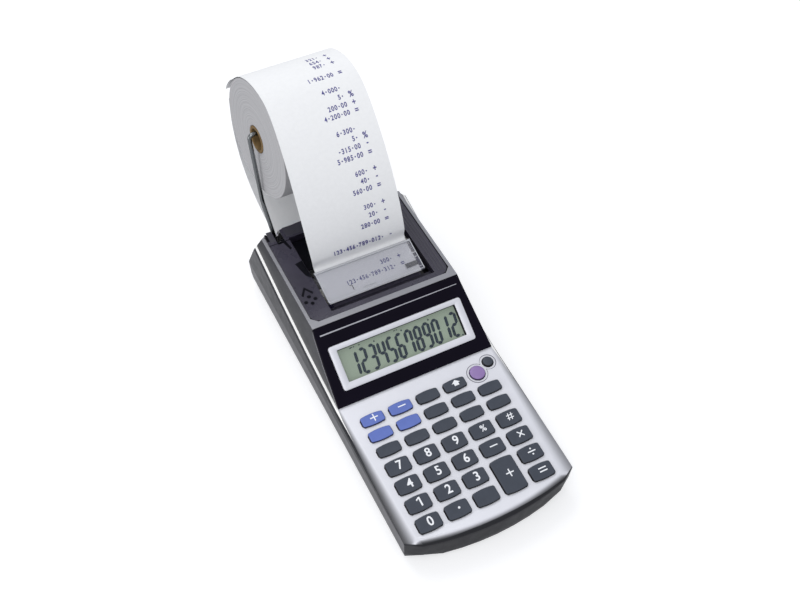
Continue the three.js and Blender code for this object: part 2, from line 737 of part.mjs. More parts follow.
// Bezel: the slope's skin and its lip, trimmed to the case's sides, open at the display frame
const bezelUnderZ = deckRearHeight + keyGap;
const bezelDrop = bezelThickness / Math.cos(bezelAngle);
const bezelUnderRun = (bezelUnderZ - bezelFootZ + bezelDrop) / Math.tan(bezelAngle);
const bezelProfile = [[bezelFootY, bezelFootZ], [ridgeY, ridgeZ], [bezelTopY, caseHeight],
  [bezelTopY, caseHeight - bezelDrop], [ridgeY, ridgeZ - bezelDrop],
  [bezelFootY + bezelUnderRun, bezelUnderZ], [bezelFootY, bezelUnderZ]];
const trimStations = [bezelFootY - overrun, bezelFootY, bezelFootY + gap, bezelTopY, bezelTopY + overrun];
const trim = toSolid(loft(trimStations
  .map((y) => crossSection(Math.max(y, bezelFootY + gap), 0).map(([x, , z]) => [x, y, z]))));
let bezel = toSolid(sidePrism(bezelProfile, -halfWidth, halfWidth)).intersect(trim);
bezel = bezel.subtract(placed(prism(frameSeat, -caseWall * 3, caseWall), bezelPlace));
addPiece('display_bezel', toGeometry(bezel), 'blackGloss');

// Frame, clear window and panel of the display, in the bezel's frame
const frameRing = toSolid(prism(frameOutside(0), frameProud - frameThickness, frameProud));
const frameHole = (grow) => (
  cutRectangle(windowHalf + grow, windowLow - grow, windowHigh + grow, frameCorner / 2));
const frameOpening = toSolid(prism(frameHole(0), -caseWall * 2, caseWall));
addPiece('display_frame', toGeometry(frameRing.subtract(frameOpening)), 'silver', bezelPlace);
const windowTop = frameProud - windowRecess;
addPiece('display_window', prism(frameHole(-gap), windowTop - windowThickness, windowTop), 'clear',
  bezelPlace);
const lcdTop = frameProud - frameThickness - gap;
addPiece('lcd_panel', prism(frameHole(lcdBorder), lcdTop - lcdThickness, lcdTop), 'lcd', bezelPlace);

// Printer cover: plate with a sunken recess and a slot for the paper
const recessFloor = coverTop - recessDepth;
const coverRear = rearTopY - gap;
let cover = toSolid(prism(coverOutline(0, coverRear), coverLow, coverTop));
const recessBox = (grow, low, high) => toSolid(block([-recessLeft - grow, recessFrontY - grow, low],
  [recessRight + grow, recessRearY + grow, high]));
cover = cover.add(recessBox(recessWall, recessFloor - recessWall, coverTop - gap));
cover = cover.subtract(recessBox(0, recessFloor, coverTop + overrun));
cover = cover.subtract(toSolid(block([-recessLeft, recessFrontY + recessApron, recessFloor - overrun],
  [recessRight, recessRearY, coverTop])));
for (const side of [-1, 1]) {
  const x = side * (bailFootHalf + gap);
  const notchFront = coverRear - rearBow - notchDepth;
  cover = cover.subtract(toSolid(block([x - notchWidth / 2, notchFront, coverLow - overrun],
    [x + notchWidth / 2, halfLength, coverTop + overrun])));
}
addPiece('printer_cover', toGeometry(cover), 'smoked');

// Cutter window: a clear flap tilted up to a saw-toothed edge, on two feet
const cutterFrontY = recessFrontY + recessApron + coverTravel + gap;
const cutterZ = coverTop - cutterThickness;
const cutterAngle = Math.atan2(cutterRise, cutterReach);
const cutterPlace = new THREE.Group();
cutterPlace.position.set(cutterShift, cutterFrontY, cutterZ);
cutterPlace.rotation.x = cutterAngle;
calculator.add(cutterPlace);
const cutterLength = Math.hypot(cutterReach, cutterRise);
const cutterOutline = [[-cutterWidth / 2, 0], [cutterWidth / 2, 0]];
for (let tooth = 0; tooth < cutterTeeth; tooth += 1) {
  const x = cutterWidth / 2 - (tooth * cutterWidth) / cutterTeeth;
  cutterOutline.push([x, cutterLength], [x - cutterWidth / cutterTeeth / 2, cutterLength - toothDepth]);
}
cutterOutline.push([-cutterWidth / 2, cutterLength]);
let cutter = toSolid(prism(cutterOutline, 0, cutterThickness));
for (const side of [-1, 1]) {
  const x = side * (cutterWidth - cutterFootWidth) / 2;
  cutter = cutter.add(toSolid(block([x - cutterFootWidth / 2, 0, -cutterFootDepth],
    [x + cutterFootWidth / 2, cutterFootDepth, cutterThickness / 2])));
}
addPiece('cutter_window', toGeometry(cutter), 'clear', cutterPlace);

// Paper path: where the tape leaves the cutter, and the roll's own frame on the bail
const cutterEdgeY = cutterFrontY + cutterReach;
const cutterEdgeZ = cutterZ + cutterRise;
const feedY = cutterEdgeY + feedBehindCutter;
const feedZ = feedRollerHeight;
const gearDistance = ((feedGearTeeth + pinionTeeth) * gearModule) / 2 + toothGap;
const motorY = feedY + gearDistance;
const frameRear = motorY + motorRadius + caseWall;
const rollAxis = new THREE.Vector3(Math.cos(rollTilt) * Math.cos(rollYaw),
  Math.cos(rollTilt) * Math.sin(rollYaw), -Math.sin(rollTilt));
const rollBack = new THREE.Vector3(0, 0, 1).cross(rollAxis).normalize();
const rollUp = rollAxis.clone().cross(rollBack);
const rollCentre = new THREE.Vector3(-rollShift, pivotY + rollBehindPivot, pivotHeight + rollAbovePivot);
const rollPlace = new THREE.Group();
rollPlace.matrixAutoUpdate = false;
rollPlace.matrix.makeBasis(rollAxis, rollBack, rollUp).setPosition(rollCentre);
calculator.add(rollPlace);

// Ring about the roll's axis
function rollRing(outer, inner, length, sides) {
  const outside = toSolid(rod(outer, -length / 2, length / 2, 0, 0, sides));
  return toGeometry(outside.subtract(toSolid(rod(inner, -length, length, 0, 0, sides))));
}
addPiece('paper_roll', rollRing(rollRadius, coreRadius + gap, paperWidth, 32), 'paper', rollPlace);
addPiece('roll_core', rollRing(coreRadius, coreBoreRadius, paperWidth + gap, 16), 'cardboard', rollPlace);

// A point beside the roll: how far along its axis, how far out and at what turn from straight back
function besideRoll(along, radius, degrees) {
  const turn = THREE.MathUtils.degToRad(degrees);
  return rollCentre.clone().addScaledVector(rollAxis, along)
    .addScaledVector(rollBack, radius * Math.cos(turn)).addScaledVector(rollUp, radius * Math.sin(turn));
}

// Sheet of paper between two edge lines of points, with its thickness on the outer side
function sheet(leftEdge, rightEdge) {
  const rings = leftEdge.map((left, i) => {
    const right = rightEdge[i];
    const before = leftEdge[Math.max(i - 1, 0)];
    const after = leftEdge[Math.min(i + 1, leftEdge.length - 1)];
    const normal = after.clone().sub(before).cross(right.clone().sub(left)).normalize();
    const thickness = normal.multiplyScalar(paperThickness);
    const steps = Array.from({ length: sheetStrips + 1 }, (_, step) => step / sheetStrips);
    const inner = steps.map((share) => left.clone().lerp(right, share));
    const outer = inner.map((point) => point.clone().add(thickness)).reverse();
    return inner.concat(outer).map((point) => point.toArray());
  });
  return loft(rings);
}

// One edge of the printed tape: out of the cutter, leaning forward, up and over the roll to the free tail
function tapeEdge(side) {
  const along = (side * paperWidth) / 2;
  const radius = rollRadius + tapeStandOff;
  const start = new THREE.Vector3(side * paperWidth / 2 + tapeShift, cutterEdgeY + gap * 2, cutterEdgeZ);
  const foot = new THREE.Vector3(start.x - tapeShift, feedY - feedRollerRadius - runningGap, feedZ);
  const joinPoint = besideRoll(along, radius, tapeWrapStart);
  const lean = THREE.MathUtils.degToRad(tapeLean);
  const upwards = new THREE.Vector3(-tapeLeanAside, -Math.sin(lean), Math.cos(lean));
  const turn = THREE.MathUtils.degToRad(tapeWrapStart);
  const onward = rollBack.clone().multiplyScalar(Math.sin(turn)).addScaledVector(rollUp, -Math.cos(turn));
  const rise = new THREE.CubicBezierCurve3(start, start.clone().addScaledVector(upwards, tapeFirstReach),
    joinPoint.clone().addScaledVector(onward, -tapeLastReach), joinPoint);
  const points = [foot].concat(rise.getPoints(10).slice(0, -1));
  const wraps = 14;
  for (let i = 0; i <= wraps; i += 1) {
    const share = i / wraps;
    const lift = tapeTailLift * Math.max(0, share - 0.7) / 0.3;
    const out = rollRadius + THREE.MathUtils.lerp(tapeStandOff, gap, share) + lift;
    points.push(besideRoll(along, out, THREE.MathUtils.lerp(tapeWrapStart, tapeWrapEnd, share)));
  }
  return points;
}
addPiece('printed_tape', sheet(tapeEdge(1), tapeEdge(-1)), 'paper');

// One edge of the supply web: off the back of the roll, down and forward into the rear slot
function webEdge(side) {
  const along = (side * paperWidth) / 2;
  const radius = rollRadius + gap;
  const leave = besideRoll(along, radius, webWrapStart);
  const slotX = side * paperWidth / 2;
  const belly = new THREE.Vector3(
    (leave.x + slotX) / 2, halfLength + webBellyBack, webSlotHeight + webBellyHeight);
  const slotIn = new THREE.Vector3(slotX, rearTopY, webSlotHeight + gap);
  const baseTop = printerBaseHeight + printerBaseThickness + webOverBase;
  const lip = new THREE.Vector3(slotX, frameRear + webOverBase, baseTop);
  const base = new THREE.Vector3(slotX, motorY, baseTop);
  const nip = new THREE.Vector3(slotX, feedY, feedZ - feedRollerRadius - runningGap * 2 - paperThickness);
  const slotOut = new THREE.Vector3(slotX, halfLength + webBackOff, webSlotHeight + gap * 2);
  const down = leave.clone().add(new THREE.Vector3(0, gap, -rollRadius * 0.6));
  const through = [leave, down, belly, slotOut, slotIn, lip, base, nip];
  const curve = new THREE.CatmullRomCurve3(through, false, 'centripetal');
  return curve.getPoints(24);
}
addPiece('supply_web', sheet(webEdge(1), webEdge(-1)), 'paper');

// Wire bail: one wire from inside the core, down an arm, across at the pivot and up again
function bailHalf(side) {
  const hang = coreBoreRadius - wireRadius - gap * 2;
  const onAxle = (x) => {
    const point = rollCentre.clone().addScaledVector(rollAxis, (x - rollCentre.x) / rollAxis.x);
    point.z += hang;
    return point;
  };
  const bendX = side < 0 ? -bailTopHalf : bailTopHalf - rightTuck;
  const bend = onAxle(bendX);
  const tip = onAxle(bendX - side * bailEndLength);
  const kink = new THREE.Vector3(side * bailKinkHalf, pivotY + kinkBehindPivot,
    pivotHeight + kinkAbovePivot);
  const foot = new THREE.Vector3(side * bailFootHalf, pivotY, pivotHeight);
  return [tip, bend, kink, foot];
}

// Points of a wire with straight runs and rounded bends
function bentPath(points, radius) {
  const path = [points[0]];
  for (let i = 1; i + 1 < points.length; i += 1) {
    const into = points[i].clone().addScaledVector(points[i - 1].clone().sub(points[i]).normalize(), radius);
    const out = points[i].clone().addScaledVector(points[i + 1].clone().sub(points[i]).normalize(), radius);
    path.push(...new THREE.QuadraticBezierCurve3(into, points[i], out).getPoints(bendStepCount));
  }
  path.push(points[points.length - 1]);
  return path;
}

// Round wire along points, its section carried from bend to bend without twist
function wire(points, radius, sides) {
  const side = new THREE.Vector3(0, 0, 1);
  const rings = points.map((point, i) => {
    const into = point.clone().sub(points[Math.max(i - 1, 0)]).normalize();
    const out = points[Math.min(i + 1, points.length - 1)].clone().sub(point).normalize();
    const along = into.add(out).normalize();
    side.addScaledVector(along, -side.dot(along)).normalize();
    const other = along.clone().cross(side);
    return Array.from({ length: sides }, (_, step) => {
      const turn = (step * 2 * Math.PI) / sides;
      const spot = point.clone().addScaledVector(side, radius * Math.cos(turn));
      return spot.addScaledVector(other, radius * Math.sin(turn)).toArray();
    });
  });
  return loft(rings);
}
const wirePath = bentPath(bailHalf(-1).concat(bailHalf(1).reverse()), wireBend);
addPiece('paper_bail', wire(wirePath, wireRadius, wireSides), 'chrome');

// Printer mechanism: places of its other shafts
const drumY = feedY - feedRollerRadius - typeDrumRadius - runningGap * 3;
const inkY = drumY - typeDrumRadius - inkRollerRadius - runningGap;
const gearX = printerHalfWidth + gap * 2;

// Toothed wheel about a shaft along X
function gear(teeth, x, y, z, bore, turn) {
  const pitch = (teeth * gearModule) / 2;
  const tip = pitch + gearModule * 0.7;
  const root = pitch - gearModule * 0.9;
  const outline = [];
  for (let tooth = 0; tooth < teeth; tooth += 1) {
    for (const [share, radius] of [[-0.3, root], [-0.14, tip], [0.14, tip], [0.3, root]]) {
      const angle = turn + ((tooth + share) * 2 * Math.PI) / teeth;
      outline.push([y + radius * Math.cos(angle), z + radius * Math.sin(angle)]);
    }
  }
  const wheel = toSolid(sidePrism(outline, x, x + gearThickness));
  return wheel.subtract(toSolid(rod(bore, x - overrun, x + gearThickness + overrun, y, z, 12)));
}

// Frame: base plate and two side plates with the shaft holes
const frameFront = inkY - inkRollerRadius - caseWall;
let frame = toSolid(block([-printerHalfWidth, frameFront, printerBaseHeight],
  [printerHalfWidth, frameRear, printerBaseHeight + printerBaseThickness]));
const plateTop = feedZ + motorRadius - caseWall;
for (const side of [-1, 1]) {
  const xLow = side < 0 ? -printerHalfWidth : printerHalfWidth - sidePlateThickness;
  frame = frame.add(toSolid(block([xLow, frameFront, printerBaseHeight],
    [xLow + sidePlateThickness, frameRear, plateTop])));
}
const pivotBore = wireRadius + runningGap;
const earHalf = pivotBore + caseWall;
for (const side of [-1, 1]) {
  const earIn = printerHalfWidth - sidePlateThickness * 2 + gap;
  const xLow = side < 0 ? -earIn - sidePlateThickness : earIn;
  frame = frame.add(toSolid(block([xLow, motorY + motorRadius + runningGap, pivotHeight - earHalf],
    [xLow + sidePlateThickness, pivotY + earHalf, pivotHeight + earHalf])));
}
frame = frame.subtract(toSolid(rod(pivotBore, -caseWidth, caseWidth, pivotY, pivotHeight, 12)));
for (const y of [feedY, drumY, inkY, motorY]) {
  frame = frame.subtract(toSolid(rod(shaftRadius + runningGap, -caseWidth, caseWidth, y, feedZ, 16)));
}
addPiece('printer_frame', toGeometry(frame), 'black');

// Roller with its two shaft ends
function shaftedRoller(radius, length, y, reach, sides) {
  const shaft = toSolid(rod(shaftRadius, -printerHalfWidth - gap, reach, y, feedZ, 12));
  return toSolid(rod(radius, -length / 2, length / 2, y, feedZ, sides)).add(shaft);
}
const gearReach = gearX + gearThickness + gap;
addPiece('feed_roller', toGeometry(shaftedRoller(feedRollerRadius, feedRollerLength, feedY, gearReach, 16)),
  'rubber');
addPiece('feed_gear', toGeometry(gear(feedGearTeeth, gearX, feedY, feedZ, shaftRadius + gap / 2, 0)),
  'nylon');

// Type drum: a shaft with raised character rings
let drum = shaftedRoller(typeDrumRadius - gap * 2, typeDrumLength, drumY, printerHalfWidth + gap, 16);
for (let ring = 0; ring < typeRings; ring += 1) {
  const step = typeDrumLength / typeRings;
  const x = -typeDrumLength / 2 + step * (ring + 0.2);
  drum = drum.add(toSolid(rod(typeDrumRadius, x, x + step * 0.6, drumY, feedZ, 16)));
}
addPiece('type_drum', toGeometry(drum), 'nylon');
const inkShaftReach = printerHalfWidth + gap;
addPiece('ink_roller', toGeometry(
  shaftedRoller(inkRollerRadius, inkRollerLength, inkY, inkShaftReach, 16)), 'ink');

// Motor inside the frame, its pinion outside the right plate
const motorRight = printerHalfWidth - sidePlateThickness - gap;
const motorCan = toSolid(rod(motorRadius, motorRight - motorLength, motorRight, motorY, feedZ, 20));
const motorShaft = toSolid(rod(shaftRadius, motorRight - gap, gearReach, motorY, feedZ, 12));
addPiece('printer_motor', toGeometry(motorCan.add(motorShaft)), 'steel');
const meshTurn = Math.PI + Math.PI / pinionTeeth;
addPiece('motor_pinion', toGeometry(
  gear(pinionTeeth, gearX, motorY, feedZ, shaftRadius + gap / 2, meshTurn)), 'nylon');

// The origin is the middle of the whole object's box, on the surface it stands on
calculator.updateMatrixWorld(true);
const extent = new THREE.Box3().setFromObject(calculator, true);
calculator.position.set(0, -(extent.min.y + extent.max.y) / 2, 0);
calculator.updateMatrixWorld(true);

export default calculator;
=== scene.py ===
import math

import bmesh
import bpy
import numpy as np
from mathutils import Matrix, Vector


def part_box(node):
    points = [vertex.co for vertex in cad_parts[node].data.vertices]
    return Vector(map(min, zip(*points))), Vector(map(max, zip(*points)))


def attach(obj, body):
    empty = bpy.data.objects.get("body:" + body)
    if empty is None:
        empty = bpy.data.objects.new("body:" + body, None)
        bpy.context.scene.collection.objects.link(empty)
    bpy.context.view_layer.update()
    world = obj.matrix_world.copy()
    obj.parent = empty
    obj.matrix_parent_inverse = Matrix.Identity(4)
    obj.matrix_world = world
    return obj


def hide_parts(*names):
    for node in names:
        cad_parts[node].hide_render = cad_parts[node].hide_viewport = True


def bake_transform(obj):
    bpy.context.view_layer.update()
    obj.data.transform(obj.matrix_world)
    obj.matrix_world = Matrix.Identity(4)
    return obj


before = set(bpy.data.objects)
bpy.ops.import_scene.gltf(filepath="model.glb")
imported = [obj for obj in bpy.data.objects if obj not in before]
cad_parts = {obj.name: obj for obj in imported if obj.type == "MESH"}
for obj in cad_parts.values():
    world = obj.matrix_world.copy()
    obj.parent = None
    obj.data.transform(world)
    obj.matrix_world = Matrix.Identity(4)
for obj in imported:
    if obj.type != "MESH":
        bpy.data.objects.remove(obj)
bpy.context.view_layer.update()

SCENE = bpy.context.scene
MM = 0.001

# Camera: place in metres, its own right, up and back directions, and its lens
CAMERA_PLACE = (-0.164595, -0.329248, 0.509167)
CAMERA_RIGHT = (0.8921389, -0.4514881, 0.0157066)
CAMERA_UP = (0.3434347, 0.7003929, 0.6257015)
CAMERA_BACK = (-0.2934976, -0.5528185, 0.7799044)
CAMERA_LENS = 47.036
CAMERA_SENSOR = 36.0

camera = bpy.data.objects.new("camera", bpy.data.cameras.new("camera"))
SCENE.collection.objects.link(camera)
camera.data.lens = CAMERA_LENS
camera.data.sensor_width = CAMERA_SENSOR
camera.data.clip_start = 0.01
camera.matrix_world = Matrix([
    [*axis] for axis in zip(CAMERA_RIGHT, CAMERA_UP, CAMERA_BACK, CAMERA_PLACE)
] + [[0, 0, 0, 1]])
SCENE.camera = camera
SCENE.view_settings.view_transform = "Standard"

# Middle of the case along the machine, which the millimetre figures below are measured from
case_low, case_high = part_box("lower_case")
CASE_MIDDLE = (case_low.y + case_high.y) / 2

# Deck, bezel and roll: where each one's own frame sits
DECK_REAR_Y = -20.6
DECK_REAR_Z = 26.8
DECK_ANGLE = math.atan2(7.545, 94.4)
BEZEL_FOOT_Z = 28.1
BEZEL_ANGLE = math.atan2(21.3, 35.0)
ROLL_CENTRE = np.array([-5.3, 115.7, 106.7])
ROLL_YAW = math.radians(4.56)
ROLL_TILT = math.radians(3.16)
ROLL_RADIUS = 35.0
CORE_RADIUS = 8.0
CORE_BORE = 6.3
PAPER_WIDTH = 57.7
PIVOT_Y = 90.5
PIVOT_Z = 35.0


def in_frame(points):
    """Points in millimetres about the middle of the case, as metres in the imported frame."""
    moved = np.asarray(points, float) * MM
    moved[..., 1] += CASE_MIDDLE
    return moved


def tilted(points, foot_y, foot_z, angle):
    """Points of a plane's own frame turned about X by its angle and set down at its foot."""
    x, y, z = np.moveaxis(np.asarray(points, float), -1, 0)
    return np.stack([
        x,
        foot_y + y * math.cos(angle) - z * math.sin(angle),
        foot_z + y * math.sin(angle) + z * math.cos(angle),
    ], -1)


def on_deck(points):
    """Points of the keypad deck's frame, origin at its rear edge, Y up the slope."""
    return in_frame(tilted(points, DECK_REAR_Y, DECK_REAR_Z, DECK_ANGLE))


def on_bezel(points):
    """Points of the display bezel's frame, origin at its foot, Y up the slope."""
    return in_frame(tilted(points, DECK_REAR_Y, BEZEL_FOOT_Z, BEZEL_ANGLE))


# Plan outline of the case: half width and length, bow of the front and rear, and the cut corners
HALF_WIDTH = 50.4
HALF_LENGTH = 115.0
END_BOW = (5.4, 3.0)
CORNER_CUT = (8.4, 5.2)
PARTING_Z = 19.5

# Axis of the silver deck's painted light, along which its colour is brightest, and how far a face looks
# forward to take the front's painted shade
PAINTED_LIGHT_AXIS = (0.12, 0, 0.993)
FRONT_SHADE_RANGE = (-0.9, -0.3)

# Rolled edge of the deck: share of height to run, its power, and how much the front and the corners narrow it
EDGE_FALL = 0.62
EDGE_POWER = 1.6
FRONT_NARROWER = 1.55
CORNER_NARROWER = 1.15


# Finishes: each is a shader with its own grain, mottling and unevenness of gloss
def shader_input(shader, name, value):
    """Sets one of the shader's own sockets."""
    shader.inputs[name].default_value = value


def mixed(tree, factor, low, high):
    """Colour between two colours by a factor from a texture."""
    mix = tree.nodes.new("ShaderNodeMix")
    mix.data_type = "RGBA"
    mix.inputs["A"].default_value = (*low, 1)
    mix.inputs["B"].default_value = (*high, 1)
    tree.links.new(factor, mix.inputs["Factor"])
    return mix.outputs["Result"]


def noise(tree, coordinates, scale, detail=3.0, stretch=(1, 1, 1)):
    """Cloudy pattern of a given fineness, per metre, drawn out along an axis by the stretch."""
    mapping = tree.nodes.new("ShaderNodeMapping")
    mapping.inputs["Scale"].default_value = stretch
    texture = tree.nodes.new("ShaderNodeTexNoise")
    texture.inputs["Scale"].default_value = scale
    texture.inputs["Detail"].default_value = detail
    tree.links.new(coordinates, mapping.inputs["Vector"])
    tree.links.new(mapping.outputs["Vector"], texture.inputs["Vector"])
    return texture.outputs["Fac"]


def spread(tree, factor, low, high):
    """A texture's value stretched to a range."""
    ranger = tree.nodes.new("ShaderNodeMapRange")
    ranger.inputs["From Min"].default_value = 0.3
    ranger.inputs["From Max"].default_value = 0.7
    ranger.inputs["To Min"].default_value = low
    ranger.inputs["To Max"].default_value = high
    tree.links.new(factor, ranger.inputs["Value"])
    return ranger.outputs["Result"]


def steep_shade(tree, colour, flank_shade, low, high, axis=(0, 0, 1), way=None):
    """Colour that passes into a darker one, a painted shade, where the surface turns away from an axis."""
    parts = tree.nodes.new("ShaderNodeVectorMath")
    parts.operation = "DOT_PRODUCT"
    parts.inputs[1].default_value = axis
    tree.links.new(way or tree.nodes.new("ShaderNodeTexCoord").outputs["Normal"], parts.inputs[0])
    ranger = tree.nodes.new("ShaderNodeMapRange")
    ranger.interpolation_type = "SMOOTHSTEP"
    ranger.inputs["From Min"].default_value = low
    ranger.inputs["From Max"].default_value = high
    tree.links.new(parts.outputs["Value"], ranger.inputs["Value"])
    mix = tree.nodes.new("ShaderNodeMix")
    mix.data_type = "RGBA"
    mix.inputs["A"].default_value = (*flank_shade, 1)
    tree.links.new(colour, mix.inputs["B"])
    tree.links.new(ranger.outputs["Result"], mix.inputs["Factor"])
    return mix.outputs["Result"]


def finish(name, colour, rough, mottle=0.06, mottle_scale=90.0, grain=2600.0, depth=0.010,
           gloss_change=0.06, stretch=(1, 1, 1), flank_shade=None, steep=(0.3, 0.9), front=None, rolled=None,
           **sockets):
    """Material: colour with cloudy mottling, roughness that wanders and a fine grain.

    The grain's depth is in millimetres. A darker colour, painted shade, takes over where the surface turns
    away from straight up, and the front's colour, painted shade too, where it looks forward.
    """
    material = bpy.data.materials.new(name)
    material.use_nodes = True
    tree = material.node_tree
    shader = tree.nodes["Principled BSDF"]
    place = tree.nodes.new("ShaderNodeTexCoord").outputs["Object"]
    cloud = noise(tree, place, mottle_scale)
    low = [c * (1 - mottle) for c in colour]
    high = [min(1.0, c * (1 + mottle)) for c in colour]
    fine = noise(tree, place, grain, 2.0, stretch)
    shade = mixed(tree, spread(tree, cloud, 0, 1), low, high)
    edge = rolled_edge(tree, *rolled) if rolled else None
    # Painted shade: steep faces, and the rolled edge's bumped slopes, fade into the darker colour
    if flank_shade:
        shade = steep_shade(tree, shade, flank_shade, *steep, axis=PAINTED_LIGHT_AXIS if edge else (0, 0, 1), way=edge)
    # Painted shade on faces that look forward
    if front:
        shade = steep_shade(tree, shade, front, *FRONT_SHADE_RANGE, (0, 1, 0))
    tree.links.new(shade, shader.inputs["Base Color"])
    tree.links.new(spread(tree, noise(tree, place, mottle_scale * 2.7), rough - gloss_change,
                          rough + gloss_change), shader.inputs["Roughness"])
    bump = tree.nodes.new("ShaderNodeBump")
    bump.inputs["Strength"].default_value = 1.0
    bump.inputs["Distance"].default_value = depth * MM
    tree.links.new(fine, bump.inputs["Height"])
    if edge:
        tree.links.new(edge, bump.inputs["Normal"])
    tree.links.new(bump.outputs["Normal"], shader.inputs["Normal"])
    for socket, value in sockets.items():
        shader_input(shader, socket.replace("_", " "), value)
    return material


def value_of(tree, operation, first, second, third=None):
    """A value worked out from two or three others, each a socket or a number."""
    node = tree.nodes.new("ShaderNodeMath")
    node.operation = operation
    for socket, value in zip(node.inputs, (first, second, third)):
        if isinstance(value, bpy.types.NodeSocket):
            tree.links.new(value, socket)
        elif value is not None:
            socket.default_value = value
    return node.outputs[0]


def rolled_edge(tree, front_run, rear_run):
    """Normal of a broad rolled edge along the deck's outline, as a bump in metres.

    The height falls with a power of the share of the run, counted from the inset off the side, the bowed
    front or the cut corner, whichever is least. The run narrows from the front to the rear of the deck.
    """
    place = tree.nodes.new("ShaderNodeSeparateXYZ")
    tree.links.new(tree.nodes.new("ShaderNodeTexCoord").outputs["Object"], place.inputs[0])
    x = value_of(tree, "ABSOLUTE", place.outputs["X"], None)
    side = value_of(tree, "SUBTRACT", HALF_WIDTH * MM, x)
    along = value_of(tree, "ADD", place.outputs["Y"], (HALF_LENGTH * MM) - CASE_MIDDLE)
    share = value_of(tree, "MINIMUM", value_of(tree, "DIVIDE", x, (HALF_WIDTH - CORNER_CUT[0]) * MM), 1.0)
    bow = value_of(tree, "MULTIPLY", value_of(tree, "MULTIPLY", share, share), END_BOW[0] * MM)
    front = value_of(tree, "MULTIPLY", value_of(tree, "SUBTRACT", along, bow), FRONT_NARROWER)
    total = sum(CORNER_CUT)
    ahead = value_of(tree, "MULTIPLY", value_of(tree, "SUBTRACT", along, END_BOW[0] * MM),
                     CORNER_CUT[0] / total)
    corner = value_of(tree, "MULTIPLY_ADD", side, CORNER_CUT[1] / total, ahead)
    corner = value_of(tree, "MULTIPLY", corner, CORNER_NARROWER)
    inset = value_of(tree, "SMOOTH_MIN", value_of(tree, "SMOOTH_MIN", side, front, 2 * MM), corner, 1.2 * MM)
    run = tree.nodes.new("ShaderNodeMapRange")
    run.inputs["From Min"].default_value = CASE_MIDDLE - 105 * MM
    run.inputs["From Max"].default_value = CASE_MIDDLE + DECK_REAR_Y * MM
    run.inputs["To Min"].default_value = front_run * MM
    run.inputs["To Max"].default_value = rear_run * MM
    tree.links.new(place.outputs["Y"], run.inputs["Value"])
    run = run.outputs["Result"]
    away = value_of(tree, "SUBTRACT", 1.0, value_of(tree, "DIVIDE", inset, run))
    away = value_of(tree, "MAXIMUM", away, 0.0)
    height = value_of(tree, "POWER", value_of(tree, "MINIMUM", away, 1.0), EDGE_POWER)
    on_deck_zone = value_of(tree, "LESS_THAN", place.outputs["Y"], CASE_MIDDLE + (DECK_REAR_Y + 0.3) * MM)
    height = value_of(tree, "MULTIPLY", height, value_of(tree, "MULTIPLY", run, on_deck_zone))
    bump = tree.nodes.new("ShaderNodeBump")
    bump.inputs["Distance"].default_value = 1.0
    tree.links.new(value_of(tree, "MULTIPLY", height, -EDGE_FALL), bump.inputs["Height"])
    return bump.outputs["Normal"]


